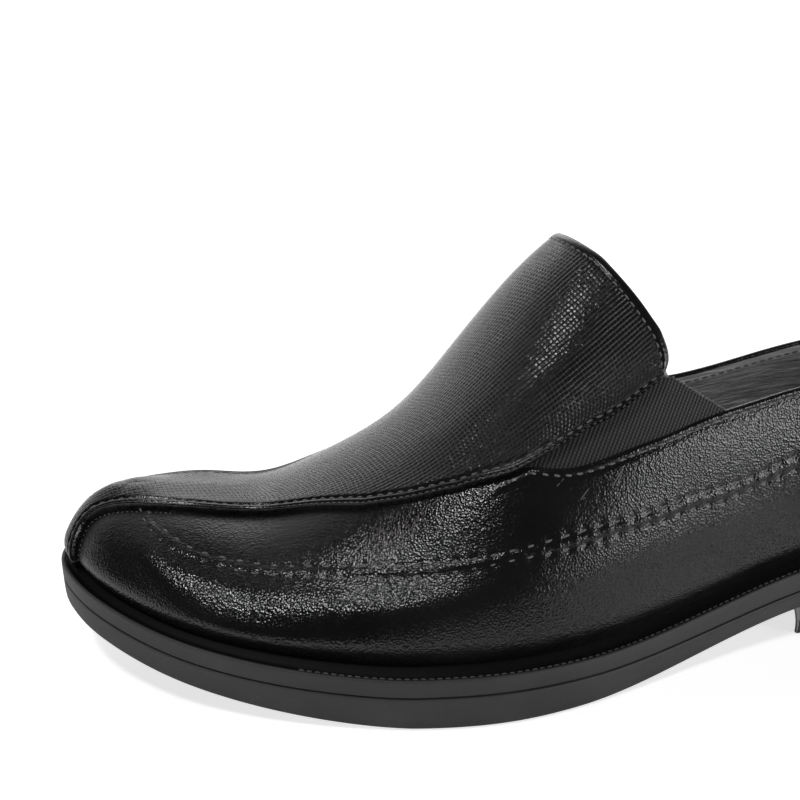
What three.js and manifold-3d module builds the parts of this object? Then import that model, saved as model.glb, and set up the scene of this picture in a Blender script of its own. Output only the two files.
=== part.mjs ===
// A slip-on leather shoe for the left foot: a hollow upper that a welt and an outsole close underneath,
// a raised centre panel that rises into a tongue, two elastic gores, a heel and an insole.
// The toe points to -X, the outer side of the foot to -Y, and the shoe stands on z = 0.
import * as THREE from "three";
import { mergeVertices } from "three/addons/utils/BufferGeometryUtils.js";
import Module from "manifold-3d";

const wasm = await Module();
wasm.setup();

// Driving sizes, in millimetres.
const soleLength = 300;
const ballOuter = 62; // sole edge at the ball, outer side of the axis
const ballInner = 48.5; // the same on the inner side
const toeSpring = 16.8; // sole underside above the floor at the toe tip
const heelRise = 14.5; // sole underside above the floor over the heel
const outsoleThickness = 7.8;
const ballThickening = 2.2; // the outsole is this much thicker under the ball
const rearThinning = 1.5; // and this much thinner from the arch back, where the welt takes up the height
const weltThickness = 5.4;
const weltLedge = 3; // the welt stands this far out from the upper
const instepHeight = 98.5; // crest of the upper above the sole stack, at the tongue
const sideSwell = 3; // how far the wall swells out over the feather line at the heel
const upperWall = 2;
const panelThickness = 1.3;
const rimRise = 0.5; // the rolled rim of the panel above its face
const rimWidth = 1.9;
const goreThickness = 1.3;
const goreRecess = 0.45; // the gores lie this far below the face of the upper
const insoleThickness = 3;
const grooveDepth = 1.2; // between outsole and welt
const grooveHalf = 0.45;
const edgeRound = 0.8; // rounding of the sole's lower edge
const heelTaper = 1.6; // the heel draws in this far towards the floor
const breastHollow = 13; // depth of the curve in the heel's front face
const fitGap = 0.3;

// Heights are counted from the sole stack and lengths from the toe tip.
const soleStack = outsoleThickness + weltThickness;
const treadFront = soleLength * 0.333;
const treadBack = soleLength * 0.483;
const seatFront = soleLength * 0.873;
const breastAt = soleLength * 0.73;
const heightOf = (share) => soleStack + share * instepHeight;

// One row per section, from the toe tip to the back of the heel. Columns: along and crownAlong are shares of
// soleLength, outer of ballOuter, inner and crownSide of ballInner, crown of instepHeight, swell of sideSwell.
// fullOuter and fullInner are exponents: a larger one keeps the wall upright for longer.
const sectionColumns = [
  "along", "outer", "inner", "crownAlong", "crownSide", "crown", "fullOuter", "fullInner", "swell",
];
const sections = table(sectionColumns, [
  [0.0, 0.0, 0.0, 0.073, 0.052, 0.329, 2.1, 2.1, 0.1],
  [0.005, 0.13, 0.175, 0.075, 0.052, 0.33, 2.1, 2.1, 0.13],
  [0.017, 0.237, 0.3, 0.079, 0.052, 0.332, 2.1, 2.1, 0.17],
  [0.04, 0.378, 0.475, 0.09, 0.054, 0.338, 2.1, 2.1, 0.27],
  [0.08, 0.545, 0.68, 0.113, 0.062, 0.336, 2.0, 2.0, 0.33],
  [0.133, 0.703, 0.856, 0.15, 0.07, 0.325, 1.9, 1.9, 0.4],
  [0.2, 0.832, 0.959, 0.207, 0.082, 0.309, 1.75, 1.75, 0.47],
  [0.273, 0.926, 1.0, 0.273, 0.093, 0.383, 1.65, 1.65, 0.53],
  [0.35, 0.987, 0.979, 0.347, 0.103, 0.516, 1.55, 1.6, 0.53],
  [0.427, 0.987, 0.897, 0.423, 0.113, 0.742, 1.42, 1.47, 0.47],
  [0.507, 0.902, 0.763, 0.5, 0.113, 1.0, 1.36, 1.41, 0.33],
  [0.593, 0.765, 0.649, 0.577, 0.103, 1.171, 1.5, 1.6, 0.27],
  [0.683, 0.637, 0.608, 0.653, 0.082, 1.196, 1.7, 1.8, 0.27],
  [0.773, 0.563, 0.629, 0.727, 0.052, 1.145, 2.0, 2.0, 0.4],
  [0.86, 0.547, 0.664, 0.783, 0.021, 1.074, 2.2, 2.2, 0.67],
  [0.933, 0.497, 0.608, 0.82, 0.0, 1.013, 2.2, 2.2, 0.87],
  [0.977, 0.335, 0.408, 0.837, 0.0, 0.993, 2.2, 2.2, 1.0],
  [0.995, 0.155, 0.192, 0.843, 0.0, 0.983, 2.2, 2.2, 1.0],
  [1.0, 0.0, 0.0, 0.845, 0.0, 0.983, 2.2, 2.2, 1.0],
]);
const lastRow = sections.length - 1;
const stepsPerSection = 2;
const archSteps = 12; // faces from the feather line to the crown, on each side

// Collar line in side view, from the top of the tongue round the gores to the back of the heel. The columns
// outer and inner are its heights on the two sides of the foot.
const sideColumns = ["along", "outer", "inner"];
const collar = table(sideColumns, [
  [0.5077, 1.1, 1.1],
  [0.5133, 1.06, 1.06],
  [0.5333, 1.008, 1.008],
  [0.5583, 0.91, 0.91],
  [0.5753, 0.833, 0.833],
  [0.581, 0.785, 0.785],
  [0.582, 0.745, 0.74],
  [0.588, 0.712, 0.695],
  [0.599, 0.692, 0.662],
  [0.612, 0.67, 0.628],
  [0.626, 0.651, 0.594],
  [0.643, 0.615, 0.557],
  [0.665, 0.622, 0.554],
  [0.7, 0.644, 0.574],
  [0.76, 0.672, 0.616],
  [0.83, 0.69, 0.662],
  [0.9, 0.706, 0.698],
  [0.96, 0.72, 0.72],
  [1.04, 0.74, 0.74],
]);

// Notch for a gore in side view: its lower edge is the quarter's top line, its upper edge follows the tongue.
const notchLower = table(sideColumns, [
  [0.4293, 0.495, 0.495],
  [0.449, 0.5045, 0.501],
  [0.469, 0.4995, 0.492],
  [0.502, 0.5085, 0.491],
  [0.5423, 0.539, 0.504],
  [0.58, 0.5665, 0.522],
  [0.64, 0.614, 0.55],
  [0.668, 0.64, 0.563],
]);
const notchUpper = table(sideColumns, [
  [0.4323, 0.5065, 0.5065],
  [0.4543, 0.5505, 0.5505],
  [0.4807, 0.586, 0.586],
  [0.5117, 0.6265, 0.6265],
  [0.544, 0.679, 0.679],
  [0.5743, 0.735, 0.735],
  [0.587, 0.75, 0.75],
]);

// Edge of the centre panel in plan: narrow over the toe box, wide under the tongue, flared at the toe tip.
const panelEdge = table(["along", "outer", "inner"], [
  [-0.01, 0.3, 0.36],
  [0.0207, 0.265, 0.32],
  [0.0275, 0.262, 0.325],
  [0.0312, 0.205, 0.264],
  [0.0377, 0.134, 0.196],
  [0.0483, 0.085, 0.152],
  [0.0703, 0.085, 0.173],
  [0.0953, 0.111, 0.221],
  [0.1443, 0.135, 0.266],
  [0.192, 0.165, 0.301],
  [0.2487, 0.284, 0.416],
  [0.3023, 0.413, 0.522],
  [0.3443, 0.505, 0.588],
  [0.3853, 0.577, 0.625],
  [0.4327, 0.626, 0.629],
  [0.4547, 0.624, 0.61],
  [0.4807, 0.616, 0.586],
  [0.5113, 0.598, 0.557],
  [0.544, 0.565, 0.522],
  [0.5747, 0.524, 0.493],
  [0.62, 0.45, 0.44],
]);

function table(columns, rows) {
  return rows.map((row) => Object.fromEntries(columns.map((name, i) => [name, row[i]])));
}

// Natural cubic spline through values one step apart.
function spline(values) {
  const last = values.length - 1;
  const bend = new Array(values.length).fill(0);
  const sweep = new Array(values.length).fill(0);
  for (let i = 1; i < last; i += 1) {
    const pivot = 0.5 * bend[i - 1] + 2;
    bend[i] = -0.5 / pivot;
    sweep[i] = (3 * (values[i + 1] - 2 * values[i] + values[i - 1]) - 0.5 * sweep[i - 1]) / pivot;
  }
  for (let i = last - 1; i >= 0; i -= 1) {
    bend[i] = bend[i] * bend[i + 1] + sweep[i];
  }
  return (t) => {
    const i = Math.min(Math.max(Math.floor(t), 0), last - 1);
    const b = t - i;
    const a = 1 - b;
    const bow = ((a ** 3 - a) * bend[i] + (b ** 3 - b) * bend[i + 1]) / 6;
    return a * values[i] + b * values[i + 1] + bow;
  };
}

// A column that mirrors at both ends, so that it runs level round the toe and the heel.
function mirrored(name) {
  const pad = 4;
  const values = [];
  for (let i = -pad; i <= lastRow + pad; i += 1) {
    const row = i < 0 ? -i : i > lastRow ? 2 * lastRow - i : i;
    values.push(sections[row][name]);
  }
  const curve = spline(values);
  return (station) => curve(station + pad);
}

// The sole's outline as a closed curve: stations run down the outer side and back up the inner side.
const rounds = 2 * lastRow;
function outlineCurve(pick) {
  const pad = 12;
  const values = [];
  for (let i = -pad; i <= rounds + pad; i += 1) {
    const turn = (i + rounds) % rounds;
    const outerSide = turn <= lastRow;
    values.push(pick(sections[outerSide ? turn : rounds - turn], outerSide));
  }
  const curve = spline(values);
  return (station) => curve(station + pad);
}
const outlineX = outlineCurve((row) => row.along * soleLength);
const outlineY = outlineCurve((row, outerSide) => (outerSide ? -row.outer * ballOuter : row.inner * ballInner));

function outlinePoint(station, inset) {
  const nudge = 0.01;
  const alongX = outlineX(station + nudge) - outlineX(station - nudge);
  const alongY = outlineY(station + nudge) - outlineY(station - nudge);
  const size = Math.hypot(alongX, alongY);
  const outward = new THREE.Vector2(alongY / size, -alongX / size);
  const point = new THREE.Vector2(outlineX(station), outlineY(station)).addScaledVector(outward, -inset);
  return { point, outward };
}

// Heights of the sole: toe spring, a flat tread under the ball, a rise through the arch, a level seat.
function undersideAt(x) {
  const front = THREE.MathUtils.clamp((treadFront - x) / treadFront, 0, 1.2);
  const back = THREE.MathUtils.smoothstep(x, treadBack, seatFront);
  return toeSpring * front ** 1.5 + heelRise * back;
}
function weltTopAt(x) {
  const fromBall = THREE.MathUtils.clamp((x / soleLength - 0.38) / 0.3, -1, 1);
  const thickening = ballThickening * Math.cos((fromBall * Math.PI) / 2) ** 2;
  return undersideAt(x) + outsoleThickness + thickening + weltThickness;
}
function outsoleTopAt(x) {
  const thinning = rearThinning * THREE.MathUtils.smoothstep(x, treadBack, breastAt);
  return weltTopAt(x) - weltThickness - thinning;
}

// A point on the face of the upper. reach runs from -1 at the outer feather line over the crown to 1.
const crownX = mirrored("crownAlong");
const crownY = mirrored("crownSide");
const crownZ = mirrored("crown");
const fullOuter = mirrored("fullOuter");
const fullInner = mirrored("fullInner");
const swellOf = mirrored("swell");
const swellTop = 0.55; // the swell ends at this share of the wall's height
function upperPoint(station, reach) {
  const outerSide = reach < 0;
  const { point, outward } = outlinePoint(outerSide ? station : (rounds - station) % rounds, weltLedge);
  const foot = new THREE.Vector3(point.x, point.y, weltTopAt(point.x));
  const top = new THREE.Vector3(
    crownX(station) * soleLength,
    crownY(station) * ballInner,
    heightOf(crownZ(station)),
  );
  const climb = Math.sin(((1 - Math.abs(reach)) * Math.PI) / 2);
  const fullness = outerSide ? fullOuter(station) : fullInner(station);
  const lean = Math.sqrt(Math.max(1 - climb ** fullness, 0));
  const swell = swellOf(station) * sideSwell * Math.sin(Math.PI * Math.min(climb / swellTop, 1)) ** 2;
  return new THREE.Vector3(
    top.x + (foot.x - top.x) * lean + outward.x * swell,
    top.y + (foot.y - top.y) * lean + outward.y * swell,
    foot.z + (top.z - foot.z) * climb,
  );
}

// Solids from meshes, and back.
function solidFrom(positions, faces) {
  const loose = new THREE.BufferGeometry();
  loose.setAttribute("position", new THREE.Float32BufferAttribute(positions, 3));
  loose.setIndex(faces);
  const merged = mergeVertices(loose, 1e-3);
  const index = merged.index.array;
  const kept = [];
  for (let i = 0; i < index.length; i += 3) {
    const [a, b, c] = [index[i], index[i + 1], index[i + 2]];
    if (a !== b && b !== c && c !== a) kept.push(a, b, c);
  }
  return new wasm.Manifold(
    new wasm.Mesh({
      numProp: 3,
      vertProperties: merged.attributes.position.array,
      triVerts: new Uint32Array(kept),
    }),
  );
}
function solidFromGeometry(geometry) {
  const plain = geometry.index ? geometry.toNonIndexed() : geometry;
  const positions = Array.from(plain.attributes.position.array);
  return solidFrom(positions, positions.slice(0, positions.length / 3).map((_, i) => i));
}
function geometryFrom(solid) {
  const mesh = solid.getMesh();
  const geometry = new THREE.BufferGeometry();
  geometry.setAttribute("position", new THREE.Float32BufferAttribute(mesh.vertProperties, 3));
  geometry.setIndex(Array.from(mesh.triVerts));
  return geometry;
}

// The face of the upper as rows of points, with a smooth normal at each.
const stationSteps = lastRow * stepsPerSection;
const archPoints = 2 * archSteps + 1;
const face = (() => {
  const positions = [];
  const faces = [];
  for (let i = 0; i <= stationSteps; i += 1) {
    for (let j = 0; j < archPoints; j += 1) {
      positions.push(...upperPoint(i / stepsPerSection, j / archSteps - 1).toArray());
    }
  }
  for (let i = 0; i < stationSteps; i += 1) {
    for (let j = 0; j < archPoints - 1; j += 1) {
      const a = i * archPoints + j;
      const b = a + archPoints;
      faces.push(a, b, b + 1, a, b + 1, a + 1);
    }
  }
  const loose = new THREE.BufferGeometry();
  loose.setAttribute("position", new THREE.Float32BufferAttribute(positions, 3));
  loose.setIndex(faces);
  const merged = mergeVertices(loose, 1e-3);
  merged.computeVertexNormals();
  const normals = [];
  faces.forEach((vertex, n) => {
    normals[vertex] = new THREE.Vector3().fromBufferAttribute(merged.attributes.normal, merged.index.array[n]);
  });
  const points = normals.map((_, n) => new THREE.Vector3().fromArray(positions, 3 * n));
  return { points, normals };
})();

// A closed form of the last, its face moved out by offset, with a skirt that reaches below the feather line.
const skirtDepth = 9;
function lastForm(offset) {
  const positions = [];
  const faces = [];
  const ring = archPoints + 2;
  for (let i = 0; i <= stationSteps; i += 1) {
    const row = [];
    for (let j = 0; j < archPoints; j += 1) {
      const n = i * archPoints + j;
      row.push(face.points[n].clone().addScaledVector(face.normals[n], offset));
    }
    row.unshift(row[0].clone().setZ(row[0].z - skirtDepth));
    row.push(row[row.length - 1].clone().setZ(row[0].z));
    row.forEach((point) => positions.push(...point.toArray()));
  }
  for (let i = 0; i < stationSteps; i += 1) {
    for (let j = 0; j < ring; j += 1) {
      const a = i * ring + j;
      const b = a + ring;
      const aNext = i * ring + ((j + 1) % ring);
      const bNext = aNext + ring;
      faces.push(a, b, bNext, a, bNext, aNext);
    }
  }
  return solidFrom(positions, faces);
}

// A layer of the sole: rings of the outline, each with its inset and height, closed by strips across.
function soleLayer(rings) {
  const around = rounds * stepsPerSection;
  const half = around / 2;
  const positions = [];
  const faces = [];
  rings.forEach(({ inset, height }) => {
    for (let i = 0; i < around; i += 1) {
      const { point } = outlinePoint(i / stepsPerSection, inset);
      positions.push(point.x, point.y, height(point.x));
    }
  });
  for (let level = 0; level < rings.length - 1; level += 1) {
    for (let i = 0; i < around; i += 1) {
      const a = level * around + i;
      const aNext = level * around + ((i + 1) % around);
      faces.push(a, aNext, aNext + around, a, aNext + around, a + around);
    }
  }
  const roof = (rings.length - 1) * around;
  for (let i = 0; i < half; i += 1) {
    const [near, nearNext] = [i, i + 1];
    const [far, farNext] = [(around - i) % around, around - i - 1];
    faces.push(near, farNext, nearNext, near, far, farNext);
    faces.push(roof + near, roof + nearNext, roof + farNext, roof + near, roof + farNext, roof + far);
  }
  return solidFrom(positions, faces);
}

// Cutters: one from above, and one from the side whose outline changes evenly from side to side.
function planCutter(outline) {
  const sweep = { depth: 3 * instepHeight, bevelEnabled: false };
  const prism = new THREE.ExtrudeGeometry(new THREE.Shape(outline), sweep);
  return solidFromGeometry(prism.translate(0, 0, -instepHeight));
}
const besideShoe = 1.1; // the ends of a side cutter, as a share of the width at the ball
function sideCutter(lines) {
  const count = lines.outer.length;
  const positions = [];
  const ends = [-besideShoe * ballOuter, besideShoe * ballInner].map((y) => {
    const share = THREE.MathUtils.inverseLerp(-ballOuter / 2, ballInner / 2, y);
    const line = lines.outer.map((point, i) => point.clone().lerp(lines.inner[i], share));
    line.forEach((point) => positions.push(point.x, y, point.y));
    return line;
  });
  const faces = [];
  for (let i = 0; i < count; i += 1) {
    const next = (i + 1) % count;
    faces.push(i, i + count, next + count, i, next + count, next);
  }
  ends.forEach((line, end) => {
    THREE.ShapeUtils.triangulateShape(line, []).forEach(([a, b, c]) => {
      faces.push(...(end === 0 ? [a, b, c] : [a + count, c + count, b + count]));
    });
  });
  return solidFrom(positions, THREE.ShapeUtils.isClockWise(lines.outer) ? faces.reverse() : faces);
}
const smoothLine = (points, count) => new THREE.SplineCurve(points).getPoints(count);
function inSideView(rows, side) {
  return rows.map((row) => new THREE.Vector2(row.along * soleLength, heightOf(row[side])));
}
function bothSides(build) {
  return { outer: build("outer"), inner: build("inner") };
}

// The room above the collar, the ground under the upper, and the two notches.
const aboveAll = heightOf(1.5);
const collarRoom = sideCutter(
  bothSides((side) => [
    ...smoothLine(inSideView(collar, side), 48),
    new THREE.Vector2(soleLength * 1.04, aboveAll),
    new THREE.Vector2(soleLength * 0.47, aboveAll),
  ]),
);
const groundSkirt = -10;
const ground = soleLayer([
  { inset: groundSkirt, height: () => -instepHeight },
  { inset: groundSkirt, height: (x) => weltTopAt(x) + fitGap },
]);
function notchLines(clearance) {
  return bothSides((side) => {
    const lift = new THREE.Vector2(0, clearance);
    const lower = inSideView(notchLower, side).map((point) => point.add(lift));
    const upper = inSideView(notchUpper, side).map((point) => point.sub(lift));
    lower[0].x += 4 * clearance;
    upper[0].x += 4 * clearance;
    const open = [0.668, 0.6].map((along) => new THREE.Vector2(along * soleLength, heightOf(0.8)));
    return [...smoothLine(lower, 18), ...open, ...smoothLine(upper, 16).reverse()];
  });
}

// Upper: one wall between two forms, open at the collar and underneath, notched for the gores.
const outerForm = lastForm(0);
const upperSolid = outerForm
  .subtract(lastForm(-upperWall))
  .subtract(ground)
  .subtract(collarRoom)
  .subtract(sideCutter(notchLines(0)));

// Centre panel: a second wall over the first, with a raised rim along its edge.
const panelSteps = 34;
function panelOutline(inset) {
  const outer = panelEdge.map((row) => new THREE.Vector2(row.along * soleLength, inset - row.outer * ballOuter));
  const inner = panelEdge.map((row) => new THREE.Vector2(row.along * soleLength, row.inner * ballInner - inset));
  return [...smoothLine(outer, panelSteps), ...smoothLine(inner, panelSteps).reverse()];
}
const panelBack = lastForm(fitGap);
const panelSolid = lastForm(fitGap + panelThickness)
  .intersect(planCutter(panelOutline(0)))
  .add(
    lastForm(fitGap + panelThickness + rimRise).intersect(
      planCutter(panelOutline(0)).subtract(planCutter(panelOutline(rimWidth))),
    ),
  )
  .subtract(panelBack)
  .subtract(ground)
  .subtract(collarRoom);

// Gores: a thinner wall sunk into each notch.
const goreWall = lastForm(-goreRecess)
  .subtract(lastForm(-goreRecess - goreThickness))
  .intersect(sideCutter(notchLines(fitGap)))
  .subtract(collarRoom);
function halfSpace(side) {
  const depth = 2 * ballOuter;
  const box = new THREE.BoxGeometry(2 * soleLength, depth, 4 * instepHeight);
  return solidFromGeometry(box.translate(soleLength / 2, (side * depth) / 2, instepHeight));
}

// Sole: outsole and welt meet at a groove, and the heel stands under the seat.
const withinOutsole = (share) => (x) =>
  THREE.MathUtils.lerp(undersideAt(x), outsoleTopAt(x) - fitGap - grooveHalf, share);
const outsoleSolid = soleLayer([
  { inset: 1.7 * edgeRound, height: undersideAt },
  { inset: 0.6 * edgeRound, height: (x) => undersideAt(x) + 0.7 * edgeRound },
  { inset: 0.25 * edgeRound, height: withinOutsole(0.35) },
  { inset: 0, height: withinOutsole(0.65) },
  { inset: 0.15, height: withinOutsole(0.9) },
  { inset: grooveDepth, height: withinOutsole(1) },
  { inset: grooveDepth, height: (x) => outsoleTopAt(x) - fitGap },
]);
const weltSolid = soleLayer([
  { inset: grooveDepth, height: outsoleTopAt },
  { inset: grooveDepth, height: (x) => outsoleTopAt(x) + grooveHalf },
  { inset: 0.1, height: (x) => outsoleTopAt(x) + 2.6 * grooveHalf },
  { inset: 0, height: (x) => outsoleTopAt(x) + 0.6 * weltThickness },
  { inset: 0.3, height: (x) => weltTopAt(x) - 0.16 * weltThickness },
  { inset: 1.3, height: weltTopAt },
]);
const breast = new THREE.Shape();
const heelHalf = 0.6 * ballOuter;
breast.moveTo(breastAt, -2 * ballOuter);
breast.lineTo(breastAt, -heelHalf);
breast.quadraticCurveTo(breastAt + 2 * breastHollow, 0, breastAt, heelHalf);
breast.lineTo(breastAt, 2 * ballOuter);
breast.lineTo(soleLength * 1.1, 2 * ballOuter);
breast.lineTo(soleLength * 1.1, -2 * ballOuter);
breast.closePath();
const heelSolid = soleLayer([
  { inset: heelTaper + 2 * edgeRound, height: () => 0 },
  { inset: heelTaper, height: () => edgeRound },
  { inset: 0.3 * heelTaper, height: () => heelRise + edgeRound },
  { inset: 0.3 * heelTaper, height: () => heelRise + outsoleThickness },
])
  .intersect(planCutter(breast.getPoints(10)))
  .subtract(
    soleLayer([
      { inset: -2, height: (x) => undersideAt(x) - fitGap },
      { inset: -2, height: (x) => undersideAt(x) + 2 * heelRise },
    ]),
  );

// Insole: it lies inside the upper on the welt.
const insoleInset = weltLedge + upperWall + 2.5 * fitGap;
const insoleSolid = soleLayer([
  { inset: insoleInset, height: (x) => weltTopAt(x) + fitGap },
  { inset: insoleInset, height: (x) => weltTopAt(x) + fitGap + 0.7 * insoleThickness },
  { inset: insoleInset + 0.3 * insoleThickness, height: (x) => weltTopAt(x) + fitGap + insoleThickness },
]);

// Finishes.
const smoothLeather = new THREE.MeshStandardMaterial({ color: 0x141414, roughness: 0.3, metalness: 0 });
const embossedLeather = new THREE.MeshStandardMaterial({ color: 0x1a1a1b, roughness: 0.45, metalness: 0 });
const elastic = new THREE.MeshStandardMaterial({ color: 0x1c1c1d, roughness: 0.9, metalness: 0 });
const soleRubber = new THREE.MeshStandardMaterial({ color: 0x26272a, roughness: 0.55, metalness: 0 });
const liningLeather = new THREE.MeshStandardMaterial({ color: 0x1b1a1a, roughness: 0.6, metalness: 0 });

const shoe = new THREE.Group();
[
  ["outsole", outsoleSolid, soleRubber],
  ["heel", heelSolid, soleRubber],
  ["welt", weltSolid, soleRubber],
  ["insole", insoleSolid, liningLeather],
  ["upper", upperSolid, smoothLeather],
  ["centre_panel", panelSolid, embossedLeather],
  ["gore_outer", goreWall.intersect(halfSpace(-1)), elastic],
  ["gore_inner", goreWall.intersect(halfSpace(1)), elastic],
].forEach(([name, solid, material]) => {
  const mesh = new THREE.Mesh(geometryFrom(solid), material);
  mesh.name = name;
  shoe.add(mesh);
});

// The origin is the middle of the footprint, on the floor.
const box = new THREE.Box3().setFromObject(shoe);
const middle = box.getCenter(new THREE.Vector3());
shoe.position.set(-middle.x, -middle.y, -box.min.z);

export default shoe;
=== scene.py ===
import math
import bpy
import numpy as np
from mathutils import Matrix, Vector
from mathutils.bvhtree import BVHTree


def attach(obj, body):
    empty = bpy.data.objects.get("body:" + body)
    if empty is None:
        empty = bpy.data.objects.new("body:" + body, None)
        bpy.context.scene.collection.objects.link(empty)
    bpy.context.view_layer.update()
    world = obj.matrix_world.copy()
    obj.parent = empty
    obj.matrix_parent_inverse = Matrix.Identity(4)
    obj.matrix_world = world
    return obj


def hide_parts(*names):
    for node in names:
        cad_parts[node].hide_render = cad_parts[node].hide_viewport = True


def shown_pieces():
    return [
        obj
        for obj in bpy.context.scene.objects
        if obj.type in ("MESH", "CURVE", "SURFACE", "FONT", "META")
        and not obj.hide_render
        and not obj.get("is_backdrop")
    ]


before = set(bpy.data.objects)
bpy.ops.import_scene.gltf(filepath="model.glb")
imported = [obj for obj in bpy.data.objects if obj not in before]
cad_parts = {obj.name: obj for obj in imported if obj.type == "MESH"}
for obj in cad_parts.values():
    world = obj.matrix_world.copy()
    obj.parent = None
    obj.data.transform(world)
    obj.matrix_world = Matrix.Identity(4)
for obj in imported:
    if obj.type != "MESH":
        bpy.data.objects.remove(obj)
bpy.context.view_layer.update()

# The form of the shoe in millimetres, from the toe tip at x = 0, with the named sizes of the solids.
form = {
    "length": 300,
    "ballOuter": 62,
    "ballInner": 48.5,
    "toeSpring": 16.8,
    "heelRise": 14.5,
    "outsole": 7.8,
    "ballThickening": 2.2,
    "rearThinning": 1.5,
    "welt": 5.4,
    "ledge": 3,
    "instep": 98.5,
    "sideSwell": 3,
    "treadFront": 0.333,
    "treadBack": 0.483,
    "seatFront": 0.873,
    "breastAt": 0.73,
}

# One row for each section from toe to heel: along, outer, inner, crown along, crown side, crown height,
# fullness outside and inside, swell.
sectionRows = np.array([
    (0.0, 0.0, 0.0, 0.073, 0.052, 0.329, 2.1, 2.1, 0.1),
    (0.005, 0.13, 0.175, 0.075, 0.052, 0.33, 2.1, 2.1, 0.13),
    (0.017, 0.237, 0.3, 0.079, 0.052, 0.332, 2.1, 2.1, 0.17),
    (0.04, 0.378, 0.475, 0.09, 0.054, 0.338, 2.1, 2.1, 0.27),
    (0.08, 0.545, 0.68, 0.113, 0.062, 0.336, 2.0, 2.0, 0.33),
    (0.133, 0.703, 0.856, 0.15, 0.07, 0.325, 1.9, 1.9, 0.4),
    (0.2, 0.832, 0.959, 0.207, 0.082, 0.309, 1.75, 1.75, 0.47),
    (0.273, 0.926, 1.0, 0.273, 0.093, 0.383, 1.65, 1.65, 0.53),
    (0.35, 0.987, 0.979, 0.347, 0.103, 0.516, 1.55, 1.6, 0.53),
    (0.427, 0.987, 0.897, 0.423, 0.113, 0.742, 1.42, 1.47, 0.47),
    (0.507, 0.902, 0.763, 0.5, 0.113, 1.0, 1.36, 1.41, 0.33),
    (0.593, 0.765, 0.649, 0.577, 0.103, 1.171, 1.5, 1.6, 0.27),
    (0.683, 0.637, 0.608, 0.653, 0.082, 1.196, 1.7, 1.8, 0.27),
    (0.773, 0.563, 0.629, 0.727, 0.052, 1.145, 2.0, 2.0, 0.4),
    (0.86, 0.547, 0.664, 0.783, 0.021, 1.074, 2.2, 2.2, 0.67),
    (0.933, 0.497, 0.608, 0.82, 0.0, 1.013, 2.2, 2.2, 0.87),
    (0.977, 0.335, 0.408, 0.837, 0.0, 0.993, 2.2, 2.2, 1.0),
    (0.995, 0.155, 0.192, 0.843, 0.0, 0.983, 2.2, 2.2, 1.0),
    (1.0, 0.0, 0.0, 0.845, 0.0, 0.983, 2.2, 2.2, 1.0),
])
heelRow = len(sectionRows) - 1
rounds = 2 * heelRow


def curveThrough(places, values):
    # natural cubic curve, held at its ends
    x, y = np.asarray(places, float), np.asarray(values, float)
    step = np.diff(x)
    count = len(x)
    system = np.eye(count)
    right = np.zeros(count)
    for i in range(1, count - 1):
        system[i, i - 1:i + 2] = step[i - 1], 2 * (step[i - 1] + step[i]), step[i]
        right[i] = 6 * ((y[i + 1] - y[i]) / step[i] - (y[i] - y[i - 1]) / step[i - 1])
    bend = np.linalg.solve(system, right)

    def at(place):
        place = np.clip(np.asarray(place, float), x[0], x[-1])
        i = np.clip(np.searchsorted(x, place, side="right") - 1, 0, count - 2)
        b = (place - x[i]) / step[i]
        a = 1 - b
        return a * y[i] + b * y[i + 1] + ((a**3 - a) * bend[i] + (b**3 - b) * bend[i + 1]) * step[i]**2 / 6

    return at


def smoothStep(value, low, high):
    share = np.clip((np.asarray(value, float) - low) / (high - low), 0, 1)
    return share * share * (3 - 2 * share)


def hill(distance, width):
    return np.exp(-(distance / width)**2)


def mirroredColumn(column):
    places = np.arange(-4, heelRow + 5)
    rows = np.where(places < 0, -places, np.where(places > heelRow, 2 * heelRow - places, places))
    return curveThrough(places, sectionRows[rows, column])


def closedColumn(pick):
    places = np.arange(-12, rounds + 13)
    turns = places % rounds
    return curveThrough(places, [pick(t) for t in turns])


outlineX = closedColumn(lambda t: form["length"] * sectionRows[t if t <= heelRow else rounds - t, 0])
outlineY = closedColumn(
    lambda t: -form["ballOuter"] * sectionRows[t, 1] if t <= heelRow
    else form["ballInner"] * sectionRows[rounds - t, 2]
)
crownAlong, crownSide, crownHigh, fullOuter, fullInner, swellAt = [mirroredColumn(c) for c in range(3, 9)]


def undersideAt(x):
    front = np.clip(1 - x / (form["treadFront"] * form["length"]), 0, 1.2)
    back = smoothStep(x, form["treadBack"] * form["length"], form["seatFront"] * form["length"])
    return form["toeSpring"] * front**1.5 + form["heelRise"] * back


def weltTopAt(x):
    fromBall = np.clip((x / form["length"] - 0.38) / 0.3, -1, 1)
    thickening = form["ballThickening"] * np.cos(fromBall * np.pi / 2)**2
    return undersideAt(x) + form["outsole"] + thickening + form["welt"]


def outsoleTopAt(x):
    thinning = smoothStep(x, form["treadBack"] * form["length"], form["breastAt"] * form["length"])
    return weltTopAt(x) - form["welt"] - form["rearThinning"] * thinning


def heightOf(share):
    return form["outsole"] + form["welt"] + share * form["instep"]


def outlinePoint(turn, inset):
    # a point of the sole's edge: turn runs down the outer side to the heel at 18 and back up the inner side
    turn = np.asarray(turn, float)
    alongX = outlineX(turn + 0.01) - outlineX(turn - 0.01)
    alongY = outlineY(turn + 0.01) - outlineY(turn - 0.01)
    size = np.hypot(alongX, alongY)
    outX, outY = alongY / size, -alongX / size
    return outlineX(turn) - outX * inset, outlineY(turn) - outY * inset, outX, outY


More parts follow.
